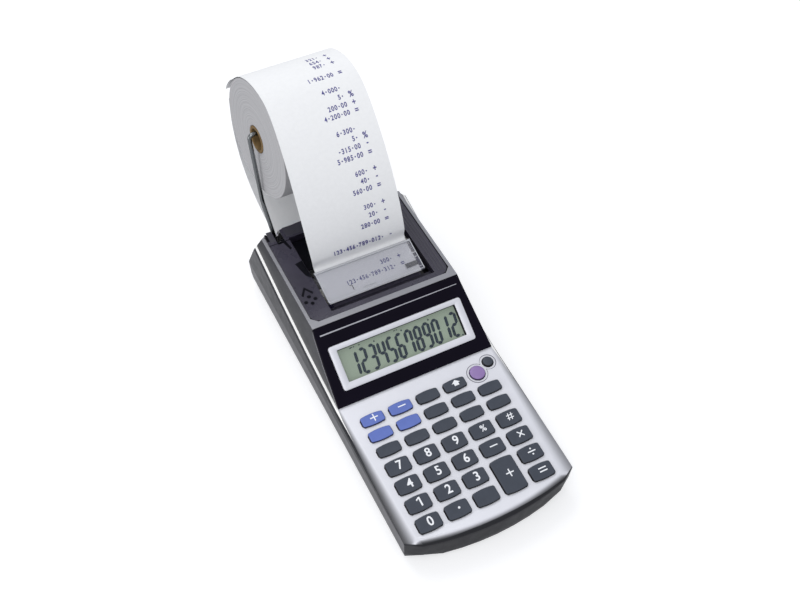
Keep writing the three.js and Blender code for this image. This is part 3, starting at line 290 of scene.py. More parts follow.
FINISHES = {
    # Deck silver: its steep faces and its rolled edge fade into a near-black painted shade
    "silver": finish("satin_silver", (0.76, 0.76, 0.81), 0.34, 0.02, 60, 3000, 0.006, 0.04,
                     flank_shade=(0.026, 0.026, 0.031), steep=(0.60, 0.982), rolled=(7.4, 3.6), Metallic=0.15),
    # Dark tub: faces that look forward take a still darker painted shade
    "dark_shell": finish("dark_metallic", (0.150, 0.147, 0.158), 0.36, 0.05, 80, 3000, 0.006, 0.04,
                         front=(0.009, 0.009, 0.013), Metallic=0.35),
    "black_gloss": finish("black_gloss", (0.0035, 0.0022, 0.0075), 0.12, 0.15, 40, 900, 0.002, 0.03,
                          Specular_IOR_Level=0.10),
    "frame_silver": finish("frame_silver", (0.72, 0.72, 0.77), 0.42, 0.03, 60, 3000, 0.005, 0.04,
                           Metallic=0.1),
    # Rim: the deck's silver painted greyer as painted shade; its rounded edges and the shoulders take painted
    # highlights
    "rim_shaded_silver": finish("rim_shaded_silver", (0.29, 0.29, 0.315), 0.34, 0.02, 60, 3000, 0.006, 0.04, Metallic=0.3),
    "shoulder": finish("painted_shoulder_highlight", (0.95, 0.94, 0.92), 0.24, 0.02, 60, 3000, 0.004, 0.04),
    "rim_edge_highlight": finish("rim_edge_highlight", (0.90, 0.89, 0.89), 0.30, 0.02, 60, 3000, 0.004, 0.04),
    # Keys: their sides fade into a near-black painted shade, and the purple key's dome is shaded the same way
    "slate": finish("slate_key", (0.052, 0.060, 0.079), 0.46, 0.05, 200, 3500, 0.010, 0.05,
                    flank_shade=(0.002, 0.002, 0.004), steep=(0.45, 0.97), Specular_IOR_Level=0.30),
    "blue": finish("blue_key", (0.120, 0.175, 0.500), 0.46, 0.05, 200, 3500, 0.010, 0.05,
                   flank_shade=(0.006, 0.008, 0.050), steep=(0.45, 0.97), Specular_IOR_Level=0.35),
    "purple": finish("purple_key", (0.285, 0.185, 0.420), 0.40, 0.05, 200, 3500, 0.010, 0.05,
                     flank_shade=(0.025, 0.012, 0.060), steep=(0.10, 0.80)),
    "legend": finish("white_legend", (0.86, 0.87, 0.90), 0.55, 0.03, 400, 3500, 0.004, 0.05),
    "ink_line": finish("grey_line", (0.16, 0.16, 0.19), 0.60, 0.06, 400, 3500, 0.004, 0.05),
    "lcd": finish("display_green", (0.340, 0.412, 0.318), 0.42, 0.03, 30, 1500, 0.002, 0.04),
    "lcd_ink": finish("display_ink", (0.006, 0.019, 0.036), 0.40, 0.08, 300, 2500, 0.001, 0.04),
    # Smoked cover: its steep faces fade into a darker painted shade
    "smoked": finish("smoked_plastic", (0.047, 0.043, 0.063), 0.28, 0.14, 40, 1800, 0.006, 0.05,
                     flank_shade=(0.008, 0.007, 0.014), steep=(0.2, 0.95), Specular_IOR_Level=0.40),
    # Darker copy of the smoked plastic: painted shade for the cover's recess
    "smoked_recess_shade": finish("smoked_recess_shade", (0.016, 0.014, 0.024), 0.34, 0.10, 50, 1800, 0.006, 0.05,
                          Specular_IOR_Level=0.30),
    "mark_clear": finish("dim_line", (0.10, 0.10, 0.11), 0.40, 0.10, 300, 2500, 0.004, 0.05, Alpha=0.55),
    # Near-black for real marks, and for painted shade: the parting groove, the display frame's inner walls,
    # the display's edge shadow and the slot under the cover
    "mark": finish("dark_mark_and_painted_shade", (0.003, 0.003, 0.006), 0.60, 0.10, 300, 2500, 0.004, 0.05,
                   Specular_IOR_Level=0.1),
    "clear": finish("clear_window", (0.20, 0.21, 0.21), 0.06, 0.02, 60, 900, 0.001, 0.02, Alpha=0.05),
    "cutter": finish("clear_cutter", (0.34, 0.34, 0.42), 0.22, 0.04, 80, 900, 0.003, 0.04, Alpha=0.20,
                     Specular_IOR_Level=0.2),
    "smoked_light": finish("smoked_band", (0.052, 0.050, 0.064), 0.34, 0.08, 50, 1800, 0.006, 0.05),
    # Pale strip standing in for the bezel ridge's highlight
    "ridge": finish("painted_ridge_highlight", (0.42, 0.42, 0.46), 0.30, 0.10, 90, 1800, 0.004, 0.05),
    "cutter_edge": finish("cutter_edge", (0.62, 0.63, 0.66), 0.22, 0.05, 300, 1500, 0.004, 0.05, Alpha=0.85),
    "chrome": finish("chrome_wire", (0.22, 0.23, 0.235), 0.16, 0.05, 200, 1500, 0.002, 0.05, Metallic=1.0),
    "paper": finish("tape_paper", (0.90, 0.90, 0.905), 0.88, 0.015, 500, 2200, 0.020, 0.04),
    "print": finish("tape_print", (0.090, 0.085, 0.270), 0.85, 0.25, 900, 2600, 0.010, 0.05),
    "card": finish("wound_card", (0.20, 0.125, 0.048), 0.86, 0.20, 350, 1800, 0.060, 0.05, (1, 6, 6)),
    "black": finish("moulded_black", (0.012, 0.012, 0.014), 0.50, 0.10, 150, 2600, 0.018, 0.06),
    "rubber": finish("grey_rubber", (0.26, 0.26, 0.28), 0.80, 0.06, 150, 2200, 0.020, 0.05),
    "board": finish("green_board", (0.030, 0.140, 0.060), 0.45, 0.12, 300, 1200, 0.010, 0.08),
    "nylon": finish("white_nylon", (0.72, 0.71, 0.66), 0.45, 0.03, 120, 2200, 0.008, 0.05),
    "ink": finish("ink_foam", (0.030, 0.024, 0.090), 0.85, 0.20, 500, 1600, 0.080, 0.05),
    "steel": finish("motor_steel", (0.42, 0.43, 0.44), 0.28, 0.05, 120, 1600, 0.004, 0.06, (1, 14, 14),
                    Metallic=1.0),
}


def paper_side():
    """Material of the roll's wound sides: lines over the turns, read from the radius kept on the mesh, in
    greys far darker than the paper as painted shade.
    """
    material = FINISHES["paper"].copy()
    material.name = "roll_side_turns_and_shade"
    tree = material.node_tree
    shader = tree.nodes["Principled BSDF"]
    radius = tree.nodes.new("ShaderNodeAttribute")
    radius.attribute_name = "turn_radius"
    rings = tree.nodes.new("ShaderNodeTexNoise")
    rings.noise_dimensions = "1D"
    rings.inputs["Scale"].default_value = 1900
    rings.inputs["Detail"].default_value = 4
    tree.links.new(radius.outputs["Fac"], rings.inputs["W"])
    # Greys well below the paper's white: painted shade of the roll's side, with the turns' lines across it
    shade = mixed(tree, spread(tree, rings.outputs["Fac"], 0, 1), (0.36, 0.355, 0.365), (0.54, 0.535, 0.545))
    tree.links.new(shade, shader.inputs["Base Color"])
    return material


FINISHES["roll_side_turns_and_shade"] = paper_side()


# Mesh building: angles in degrees past which an edge shows as sharp, is rounded, or parts two directions
SHARP_ANGLE = 38.0
ROUNDED_ANGLE = 30.0
PARTED_ANGLE = 40.0
CORNER_ROUND = 2.3


def grid_faces(rows, columns, rows_closed=False):
    """Quads between neighbouring rows and columns of a grid whose columns close, and its rows too if told."""
    i, j = np.meshgrid(np.arange(rows if rows_closed else rows - 1), np.arange(columns), indexing="ij")
    below, beside = (i + 1) % rows, (j + 1) % columns
    return np.stack([i * columns + j, i * columns + beside, below * columns + beside, below * columns + j],
                    -1).reshape(-1, 4)


def surface(rings, material=0, rows_closed=False, caps=False):
    """Part of a piece: rings of equal point counts joined in order, with a face over each end if capped."""
    rows, columns = rings.shape[:2]
    faces = grid_faces(rows, columns, rows_closed).tolist()
    if caps:
        faces += [list(range(columns))[::-1], list(range((rows - 1) * columns, rows * columns))]
    return rings.reshape(-1, 3), faces, material


def raised(outline, z):
    """A flat outline (..., 2) as points at a height."""
    return np.concatenate([outline, np.full((*outline.shape[:-1], 1), z)], -1)


def plates(outlines, low, high, place, material=0):
    """Part of a piece: flat plates of equal point counts (k, n, 2) between two heights, then put in place."""
    count, corners = outlines.shape[:2]
    points = place(np.stack([raised(outlines, z) for z in (low, high)], 1).reshape(-1, 3))
    start = np.arange(count)[:, None] * 2 * corners
    turn = np.arange(corners)
    sides = np.stack([turn, (turn + 1) % corners, (turn + 1) % corners + corners, turn + corners], -1)
    faces = (sides[None] + start[:, :, None]).reshape(-1, 4).tolist()
    faces += (turn[None, ::-1] + start).tolist() + (turn[None] + corners + start).tolist()
    return points, faces, material


def dressed(mesh, finishes, body, replaces=(), between=None):
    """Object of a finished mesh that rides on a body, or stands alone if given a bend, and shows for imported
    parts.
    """
    for each in finishes:
        mesh.materials.append(FINISHES[each])
    piece = bpy.data.objects.new(mesh.name, mesh)
    SCENE.collection.objects.link(piece)
    if between:
        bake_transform(piece)
    else:
        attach(piece, body)
    if replaces:
        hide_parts(*replaces)
    return piece


def make_piece(name, parts, finishes, body, replaces=(), between=None):
    """Piece of several parts, each with its points, faces and finish, merged where points meet."""
    mesh = bpy.data.meshes.new(name)
    counts = np.cumsum([0] + [len(points) for points, _, _ in parts])
    corners = np.concatenate([points for points, _, _ in parts])
    faces = [[i + start for i in face] for start, (_, some, _) in zip(counts, parts) for face in some]
    mesh.from_pydata(corners.tolist(), [], faces)
    mesh.polygons.foreach_set("material_index",
                              np.repeat([m for _, _, m in parts], [len(some) for _, some, _ in parts]))
    shape = bmesh.new()
    shape.from_mesh(mesh)
    bmesh.ops.remove_doubles(shape, verts=shape.verts, dist=1e-7)
    bmesh.ops.recalc_face_normals(shape, faces=shape.faces)
    shape.to_mesh(mesh)
    shape.free()
    mesh.shade_smooth()
    mesh.set_sharp_from_angle(angle=math.radians(SHARP_ANGLE))
    return dressed(mesh, finishes, body, replaces, between)


def values(items, name, width=1, kind=float):
    """One property of a mesh's points, corners or faces as an array, in rows where it has several numbers."""
    found = np.zeros(len(items) * width, kind)
    items.foreach_get(name, found)
    return found.reshape(-1, width) if width > 1 else found


def flat_kept_normals(mesh, limit):
    """Directions at the faces' corners: the mean, weighed by area, of the faces met there within the limit.

    Broad flat faces stay flat, and narrow faces beside them take up the turn.
    """
    spots = values(mesh.loops, "vertex_index", 1, int)
    sizes = values(mesh.polygons, "loop_total", 1, int)
    faces = np.repeat(np.arange(len(sizes)), sizes)
    ways, areas = values(mesh.polygons, "normal", 3), values(mesh.polygons, "area")
    order = np.argsort(spots, kind="stable")
    counts = np.bincount(spots)
    starts = np.cumsum(counts) - counts
    reps = counts[spots]
    here = np.repeat(np.arange(len(spots)), reps)
    step = np.arange(len(here)) - np.repeat(np.cumsum(reps) - reps, reps)
    there = order[starts[spots[here]] + step]
    near = (ways[faces[here]] * ways[faces[there]]).sum(1) > math.cos(limit)
    total = np.zeros((len(spots), 3))
    np.add.at(total, here[near], (areas[faces[there]][:, None] * ways[faces[there]])[near])
    total /= np.maximum(np.linalg.norm(total, axis=1, keepdims=True), 1e-20)
    mesh.shade_smooth()
    mesh.normals_split_custom_set(total.tolist())


def turned_edges(shape, degrees):
    """Edges whose two faces turn from one another by more than an angle."""
    least = math.radians(degrees)
    return [edge for edge in shape.edges if edge.is_manifold and edge.calc_face_angle(0) > least]


def rounded_edges(shape, edges, width, segments):
    """Rounds edges of a mesh by a width in millimetres."""
    bmesh.ops.bevel(shape, geom=edges, offset=width * MM, offset_type="OFFSET", segments=segments,
                    profile=0.5, affect="EDGES", clamp_overlap=True, miter_outer="ARC")


def plan_inset(x, y, ring=0.0):
    """How far inside the plan outline a place is, the outline itself drawn in by a ring's distance.

    It is the least of the distances from the side, the bowed end and the cut corner.
    """
    half, length = HALF_WIDTH - ring, HALF_LENGTH - ring
    run, fall = CORNER_CUT
    bow = np.where(y < 0, *END_BOW)
    share = np.clip(np.abs(x) / (half - run), 0, 1)
    side = half - np.abs(x)
    end = length - np.abs(y) - bow * share ** 2
    # Line of the cut corner, its distance scaled so that it moves with the sides
    corner = (side * fall + (length - bow - np.abs(y)) * run) / (run + fall)
    return np.minimum(np.minimum(side, np.where(share < 1, end, 99.0)), corner)


# Levels of the tub's wall: heights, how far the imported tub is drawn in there, and how far it shall be
UNDER_EDGE = ([1.0, 4.2, 9.0, 19.5], [6.0, 2.308, 1.0, 0.0], [3.4, 1.1, 0.5, 0.0])
FOOT_TOP = 0.9
END_WALL_Y = (90, 96)


def fill_under_edge(points):
    """Makes the tub's lower edge fuller: its outer levels move out from one inset to a smaller one.

    The step across fades towards the middle of the machine, and the step along it fades off the end walls.
    """
    heights, insets, fuller = UNDER_EDGE
    x, y, z = points.T
    inset = np.interp(z, heights, insets)
    outer = (z > FOOT_TOP) & (z < PARTING_Z) & (np.abs(plan_inset(x, y, inset)) < 0.3)
    gain = np.where(outer, inset - np.interp(z, heights, fuller), 0)
    across = np.minimum(1, np.abs(x) / (HALF_WIDTH - inset - CORNER_CUT[0]))
    ahead = np.clip((np.abs(y) - END_WALL_Y[0]) / (END_WALL_Y[1] - END_WALL_Y[0]), 0, 1)
    return points + np.stack([np.copysign(gain * across, x), np.copysign(gain * ahead, y), 0 * z], -1)


def reshaped(shape, change):
    """Passes a shape's points, in millimetres about the case's middle, through a function."""
    mesh = bpy.data.meshes.new("reshaped")
    shape.to_mesh(mesh)
    own = values(mesh.vertices, "co", 3) / MM - [0, CASE_MIDDLE / MM, 0]
    mesh.vertices.foreach_set("co", in_frame(change(own)).ravel())
    shape.clear()
    shape.from_mesh(mesh)
    bpy.data.meshes.remove(mesh)


def softened(node, name, finishes, body, width, paint=None, upright=None, reshape=None):
    """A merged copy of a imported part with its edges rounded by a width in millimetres.

    paint(middles, ways) gives each face's finish from its middle, in millimetres, and its direction.
    upright(middle) tells, by their middles, which upright edges at its corners are made rounder.
    reshape(points) moves its points before the edges are rounded.
    """
    shape = bmesh.new()
    shape.from_mesh(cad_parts[node].data)
    bmesh.ops.remove_doubles(shape, verts=shape.verts, dist=2e-6)
    bmesh.ops.dissolve_limit(shape, angle_limit=math.radians(0.05), verts=shape.verts, edges=shape.edges)
    if reshape:
        bmesh.ops.triangulate(shape, faces=[face for face in shape.faces if len(face.verts) > 4])
        reshaped(shape, reshape)
        bmesh.ops.triangulate(shape, faces=shape.faces)
    if upright:
        posts = [edge for edge in turned_edges(shape, 10)
                 if abs((edge.verts[0].co - edge.verts[1].co).normalized().z) > 0.95
                 and upright((edge.verts[0].co + edge.verts[1].co) / 2 / MM)]
        rounded_edges(shape, posts, CORNER_ROUND, 4)
    rounded_edges(shape, turned_edges(shape, ROUNDED_ANGLE), width, 2)
    mesh = bpy.data.meshes.new(name)
    shape.to_mesh(mesh)
    shape.free()
    if paint:
        middles = values(mesh.polygons, "center", 3) / MM - [0, CASE_MIDDLE / MM, 0]
        painted = paint(middles, values(mesh.polygons, "normal", 3))
        mesh.polygons.foreach_set("material_index", painted.astype(int))
    flat_kept_normals(mesh, math.radians(PARTED_ANGLE))
    return dressed(mesh, finishes, body, [node])


# Height from which the rim is painted, and how far out the shoulders begin
RIM_FOOT = 51.4
SHOULDER_X = 46.3


def rim_paint(middles, ways):
    """The rim round the printer cover is painted a greyer silver than the deck as painted shade, with painted
    highlights on its edges and the shoulders.
    """
    rim = (middles[:, 2] > RIM_FOOT) & (ways[:, 2] > 0.2)
    beside = (np.abs(middles[:, 0]) > SHOULDER_X) & (middles[:, 1] > CASE_MIDDLE / MM - 8)
    shoulder = beside & (ways[:, 2] > 0.75) & (middles[:, 2] < 51)
    # Index 1 is the rim's painted shade, 2 the painted highlight on its rounded edges, 3 the painted
    # highlight on the shoulders
    return np.where(rim & (ways[:, 2] < 0.97), 2, np.where(rim, 1, np.where(shoulder, 3, 0)))


def cover_paint(middles, ways):
    """The sunken walls and floor of the cover are painted darker than its upper faces, a painted shade in the
    recess.
    """
    return (middles[:, 2] < 51.0) | (np.abs(ways[:, 2]) < 0.4)


def cover_corner(middle):
    """Whether a place is at a front corner of the printer cover."""
    return abs(middle.x) > 36 and middle.y - CASE_MIDDLE / MM < 27 and middle.z > 45


def parting_paint(middles, ways):
    """The tub's upper edge is painted dark, as painted shade in the groove between the two halves."""
    return (middles[:, 2] > PARTING_Z - 0.95) & (ways[:, 2] > 0.1) & (ways[:, 2] < 0.95)


softened("lower_case", "dark_tub", ["dark_shell", "mark"], "case", 0.9, parting_paint, None,
         fill_under_edge)
softened("upper_case", "silver_top", ["silver", "rim_shaded_silver", "rim_edge_highlight", "shoulder"], "case",
         0.28, rim_paint, cover_corner)
softened("display_bezel", "gloss_bezel", ["black_gloss"], "case", 0.35)
softened("printer_cover", "smoked_cover", ["smoked", "smoked_recess_shade"], "cover", 0.25,
         cover_paint, cover_corner)
softened("battery_cover", "battery_lid", ["dark_shell"], "battery_door", 0.3)
softened("power_jack", "socket", ["black"], "case", 0.1)

# Keys: outline and cap
KEY_X = np.array([-33.8, -16.9, 0.0, 16.9, 33.8])
KEY_ROW_Y = np.array([-33.91, -43.81, -53.71, -64.81, -76.41, -88.01, -99.61])
KEY_WIDTH = 13.4
TALL_KEY = 8.5
SHORT_KEY = 6.4
KEY_BOW = 0.7
KEY_CORNER = 0.95
KEY_PROUD = 1.4
KEY_DEPTH = -2.3
KEY_ROUND = 0.55
KEY_DISH = 0.10
DOME_ROUND = 0.9
DOME_RISE = 0.25
CLEAR_KEY = (32.3, -11.75, 4.5)
POWER_KEY = (41.2, -7.75, 3.2)


def key_ring(width, depth, corner, bow):
    """Outline of a key: four quarter circles joined by lines, front and rear bowed by a parabola."""
    w, d = width / 2, depth / 2
    signs = np.array([[1, 1], [-1, 1], [-1, -1], [1, -1]])[:, None]
    angle = np.linspace(0, np.pi / 2, 6) + np.arange(4)[:, None] * np.pi / 2
    arcs = signs * [w - corner, d - corner] + corner * np.stack([np.cos(angle), np.sin(angle)], -1)
    share = np.linspace(0, 1, 11)[1:-1, None]
    lines = arcs[:, -1:] * (1 - share) + np.roll(arcs, -1, 0)[:, :1] * share
    ring = np.concatenate([arcs, lines], 1).reshape(-1, 2)
    ring[:, 1] += ring[:, 1] / d * bow * (1 - (ring[:, 0] / w) ** 2)
    return ring


def cap_rings(outline, top, rounding, dish):
    """Rings of a cap: straight skirt, quarter-round shoulder, then a dished top drawn in to its middle.

    outline(inset) gives the ring at an inset; the dish falls with the square of the distance from the edge.
    """
    turn = np.linspace(0, np.pi / 2, 5)
    insets = np.concatenate([[0.0, 0.0], rounding * (1 - np.cos(turn))])
    heights = np.concatenate([[KEY_DEPTH, KEY_DEPTH], top - rounding + rounding * np.sin(turn)])
    rings = [raised(outline(inset), z) for inset, z in zip(insets, heights)]
    rings[0] = rings[0] * [0, 0, 1] + [*outline(0).mean(0), 0]
    edge = rings[-1][:, :2]
    middle = edge.mean(0)
    rings += [raised(middle + (edge - middle) * share, top - dish * (1 - share ** 2))
              for share in (0.92, 0.8, 0.6, 0.35, 0.0)]
    return np.stack(rings)


def sign_mesh(text, size, bold=0.0, spread_x=1.0, thickness=0.02):
    """Flat letters of one line as a closed mesh: points (n, 3) about their middle, and faces."""
    curve = bpy.data.curves.new("sign", "FONT")
    curve.body = text
    curve.size = size
    curve.offset = bold
    curve.extrude = thickness / 2
    curve.resolution_u = 4
    holder = bpy.data.objects.new("sign", curve)
    SCENE.collection.objects.link(holder)
    mesh = bpy.data.meshes.new_from_object(holder.evaluated_get(bpy.context.evaluated_depsgraph_get()))
    points = values(mesh.vertices, "co", 3)
    faces = [list(face.vertices) for face in mesh.polygons]
    middle = (points.max(0) + points.min(0)) / 2
    points = (points - middle * [1, 1, 0]) * [spread_x, 1, 1]
    bpy.data.objects.remove(holder)
    bpy.data.curves.remove(curve)
    bpy.data.meshes.remove(mesh)
    return points, faces


def bars(*boxes):
    """Rectangles given by middle and size (x, y, width, height), as outlines (k, 4, 2)."""
    boxes = np.array(boxes, float)
    signs = np.array([[-1, -1], [1, -1], [1, 1], [-1, 1]]) / 2
    return boxes[:, None, :2] + signs[None] * boxes[:, None, 2:]


def turned(outlines, degrees):
    """Outlines turned about their origin."""
    a = math.radians(degrees)
    return outlines @ np.array([[math.cos(a), math.sin(a)], [-math.sin(a), math.cos(a)]])


def disc(x, y, radius, sides=20):
    """Round outline (1, n, 2)."""
    turn = np.linspace(0, 2 * np.pi, sides, endpoint=False)
    return np.stack([x + radius * np.cos(turn), y + radius * np.sin(turn)], -1)[None]


STROKE = 0.68
SIGNS = {
    "plus": [bars((0, 0, 4.6, STROKE), (0, 0, STROKE, 4.6))],
    "minus": [bars((0, 0, 4.6, STROKE))],
    "times": [turned(bars((0, 0, 4.6, STROKE), (0, 0, STROKE, 4.6)), 45)],
    "divide": [bars((0, 0, 4.6, STROKE)), disc(0, 1.7, 0.5), disc(0, -1.7, 0.5)],
    "equals": [bars((0, 0.95, 4.6, STROKE), (0, -0.95, 4.6, STROKE))],
    "point": [disc(0, 0, 0.66)],
    "1": [bars((0.45, 0, 0.88, 5.2)), np.array([[[0.02, 2.6], [-1.55, 1.55], [-1.25, 0.85], [0.02, 1.70]]])],
    "hash": [bars((0, 0.85, 4.0, 0.5), (0, -0.85, 4.0, 0.5)),
             bars((0.9, 0, 0.5, 4.2), (-0.9, 0, 0.5, 4.2)) @ np.array([[1, 0], [0.18, 1]])],
    "arrow": [np.array([[[-1.4, -1.6], [1.4, -1.6], [1.4, 0.1], [-1.4, 0.1]]]),
              np.array([[[-2.6, 0.0], [2.6, 0.0], [0.0, 2.0]]])],
}
DIGIT_HEIGHT = 5.3
LETTER_SHARE = 0.73
LEGEND_SHIFT = (1.0, 0.55)
LEGEND_LIFT = 0.015


def legend_parts(text, centre, depth, width):
    """The white sign on a key, laid on the dished top: digits come from letters, other signs from plates."""
    if text in SIGNS:
        parts = [plates(outline, -0.02, 0.02, lambda points: points, 1) for outline in SIGNS[text]]
    else:
        points, faces = sign_mesh(text, DIGIT_HEIGHT / LETTER_SHARE, 0.13, 0.93)
        if text == "%":
            points = points * [0.72, 0.72, 1]
        parts = [(points, faces, 1)]
    laid = []
    for points, faces, material in parts:
        reach = np.maximum(np.abs(points[:, 0]) / (width / 2), np.abs(points[:, 1]) / (depth / 2))
        height = KEY_PROUD - KEY_DISH * (1 - np.clip(reach, 0, 1) ** 2) + LEGEND_LIFT
        moved = points + [centre[0] + LEGEND_SHIFT[0], centre[1] + LEGEND_SHIFT[1], 0]
        moved[:, 2] = points[:, 2] + height
        laid.append((on_deck(moved), faces, material))
    return laid


def deck_y(y):
    """Distance along the deck of a place along the machine."""
    return (y - DECK_REAR_Y) / math.cos(DECK_ANGLE)


KEYS = [
    ("key_tax_plus", 0, 0, 1, "blue", "plus"), ("key_tax_minus", 1, 0, 1, "blue", "minus"),
    ("key_print", 2, 0, 1, "slate", None), ("key_shift", 3, 0, 1, "slate", "arrow"),
    ("key_convert_rate", 0, 1, 1, "blue", None), ("key_local", 1, 1, 1, "blue", None),
    ("key_cost", 2, 1, 1, "slate", None), ("key_sell", 3, 1, 1, "slate", None),
    ("key_margin", 4, 1, 1, "slate", None), ("key_rounding", 0, 2, 1, "slate", None),
    ("key_decimal_places", 1, 2, 1, "slate", None), ("key_memory_recall", 2, 2, 1, "slate", None),
    ("key_memory_plus", 3, 2, 1, "slate", None), ("key_memory_minus", 4, 2, 1, "slate", None),
    ("key_7", 0, 3, 1, "slate", "7"), ("key_8", 1, 3, 1, "slate", "8"), ("key_9", 2, 3, 1, "slate", "9"),
    ("key_percent", 3, 3, 1, "slate", "%"), ("key_number_sign", 4, 3, 1, "slate", "hash"),
    ("key_4", 0, 4, 1, "slate", "4"), ("key_5", 1, 4, 1, "slate", "5"), ("key_6", 2, 4, 1, "slate", "6"),
    ("key_minus", 3, 4, 1, "slate", "minus"), ("key_multiply", 4, 4, 1, "slate", "times"),
    ("key_1", 0, 5, 1, "slate", "1"), ("key_2", 1, 5, 1, "slate", "2"), ("key_3", 2, 5, 1, "slate", "3"),
    ("key_plus", 3, 5, 2, "slate", "plus"), ("key_divide", 4, 5, 1, "slate", "divide"),
    ("key_0", 0, 6, 1, "slate", "0"), ("key_point", 1, 6, 1, "slate", "point"),
    ("key_conversion", 2, 6, 1, "slate", None), ("key_equals", 4, 6, 1, "slate", "equals"),
]

for name, column, line, span, colour, legend in KEYS:
    far, near = deck_y(KEY_ROW_Y[line]), deck_y(KEY_ROW_Y[line + span - 1])
    centre = (KEY_X[column], (far + near) / 2)
    depth = (SHORT_KEY if line < 3 else TALL_KEY) + far - near
    rings = cap_rings(lambda g: key_ring(KEY_WIDTH - 2 * g, depth - 2 * KEY_BOW - 2 * g + 2 * KEY_BOW * 0.5,
                                         KEY_CORNER - g, KEY_BOW) + centre, KEY_PROUD, KEY_ROUND, KEY_DISH)
    parts = [surface(on_deck(rings))]
    if legend:
        parts += legend_parts(legend, centre, depth, KEY_WIDTH)
    make_piece(name + "_cap", parts, [colour, "legend"], name + "_body", [name])

ROUND_KEYS = [("key_clear", CLEAR_KEY, "purple"), ("key_power_off", POWER_KEY, "slate")]

for name, (x, y, radius), colour in ROUND_KEYS:
    rings = cap_rings(lambda g: disc(x, y, radius - g, 40)[0], KEY_PROUD, DOME_ROUND, -DOME_RISE)
    make_piece(name + "_cap", [surface(on_deck(rings))], [colour], name + "_body", [name])


def capsule_line(ends, grow, width, count=120):
    """Inner and outer outline of a line round two circles (x, y, radius), at a distance from them.

    Each point lies at the larger of the distances, from a middle, at which its ray leaves either circle.
    """
    ends = np.array(ends)
    middle = ends[:, :2].mean(0)
    turn = np.linspace(0, 2 * np.pi, count, endpoint=False)
    way = np.stack([np.cos(turn), np.sin(turn)], -1)
    reach = []
    for x, y, radius in ends:
        off = np.array([x, y]) - middle
        across = way @ np.array([-off[1], off[0]])
        depth = (radius + grow) ** 2 - (off @ off - (way @ off) ** 2)
        reach.append(np.where(depth > 0, way @ off + np.sqrt(np.maximum(depth, 0)), 0))
    far = np.max(reach, 0)
    return [middle + way * (far + side * width / 2)[:, None] for side in (-1, 1)]


inner, outer = capsule_line([CLEAR_KEY, POWER_KEY], 1.5, 0.45)
flat = [raised(ring, z) for ring, z in ((inner, 0.0), (inner, 0.10), (outer, 0.10), (outer, 0.0))]
make_piece("key_outline", [surface(on_deck(np.stack(flat)), 0, True)], ["ink_line"], "case")

# Silver frame round the display window: a rectangular ring with rounded corners and edges
FRAME_MIDDLE = (0.0, 20.485)
FRAME_OUTER = (82.4, 25.49)
FRAME_INNER = (73.8, 18.59)
FRAME_CORNERS = (1.35, 0.40)
FRAME_DROP = 0.45
FRAME_SECTION = np.array([(0.0, -1.8), (0.0, 0.05), (0.10, 0.28), (0.35, 0.40), (2.2, 0.40), (3.7, 0.22),
                          (4.1, 0.05), (4.3, -0.15), (4.3, -1.8)])


def frame_ring():
    """Rings of the frame along its section, each a mix of the outer and the inner outline by its inset.

    The outer outline sits lower than the inner one, so the lower bar is the broader.
    """
    shares = FRAME_SECTION[:, 0] / FRAME_SECTION[-1, 0]
    sizes = np.multiply.outer(1 - shares, FRAME_OUTER) + np.multiply.outer(shares, FRAME_INNER)
    rings = [key_ring(*size, np.interp(share, (0, 1), FRAME_CORNERS), 0.0) + [0, FRAME_DROP * (share - 1)]
             for share, size in zip(shares, sizes)]
    return np.stack([raised(ring + FRAME_MIDDLE, z) for ring, z in zip(rings, FRAME_SECTION[:, 1])])


frame_rings = on_bezel(frame_ring())
# The frame's inner walls and underside take the near-black finish as painted shade inside the window
make_piece("window_frame", [surface(frame_rings[:8]), surface(frame_rings[[7, 8, 0]], 1)],
           ["frame_silver", "mark"], "case", ["display_frame"])

# Painted highlight where the bezel's slope turns up into its rear lip: a flat pale strip with rounded long
# edges
RIDGE_HALF = 42.6
RIDGE_Y = 40.3
RIDGE_NARROWS = 0.45
ridge_x = np.linspace(-RIDGE_HALF, RIDGE_HALF, 60)[:, None]
ridge_ring = np.array([[-0.42, -0.15], [-0.38, 0.10], [-0.2, 0.17], [0.2, 0.17], [0.38, 0.10], [0.42, -0.15]])
narrowed = ridge_ring[:, 0] * (1 - RIDGE_NARROWS * (ridge_x / RIDGE_HALF + 1) / 2)
ridge_points = np.stack(np.broadcast_arrays(ridge_x, RIDGE_Y + narrowed, ridge_ring[:, 1]), -1)
make_piece("bezel_ridge_highlight", [surface(on_bezel(ridge_points), 0, False, True)], ["ridge"], "case")

# Cutter window: a clear tilted sheet with a saw-toothed rear edge, moulded lines and a clip at each end
CUTTER_ANGLE = math.atan2(4.0, 18.0)
CUTTER_FRONT = (34.0, 50.6)
CUTTER_HALF = 30.3
CUTTER_SHIFT = 1.2
TEETH = 60
TOOTH_DEPTH = 0.9


def on_cutter(points):
    """Points of the cutter window's frame, X across from its middle and Y up its slope."""
    return in_frame(tilted(np.asarray(points, float) + [CUTTER_SHIFT, 0, 0], *CUTTER_FRONT, CUTTER_ANGLE))


def window_sheet(low, high, thick):
    """Rings across a sheet: lower, then upper side, its rear edge cut back at every second step."""
    x = np.linspace(-CUTTER_HALF, CUTTER_HALF, 2 * TEETH + 1)
    rear = high - TOOTH_DEPTH * (np.arange(len(x)) % 2)
    middle = (low + high) / 2
    section = [(low, 0), (low - 0.15, 0.3), (low, thick), (middle, thick), (rear, thick), (rear, 0),
               (middle, 0)]
    return np.stack([np.stack(np.broadcast_arrays(x, y, float(z)), -1) for y, z in section], 1)


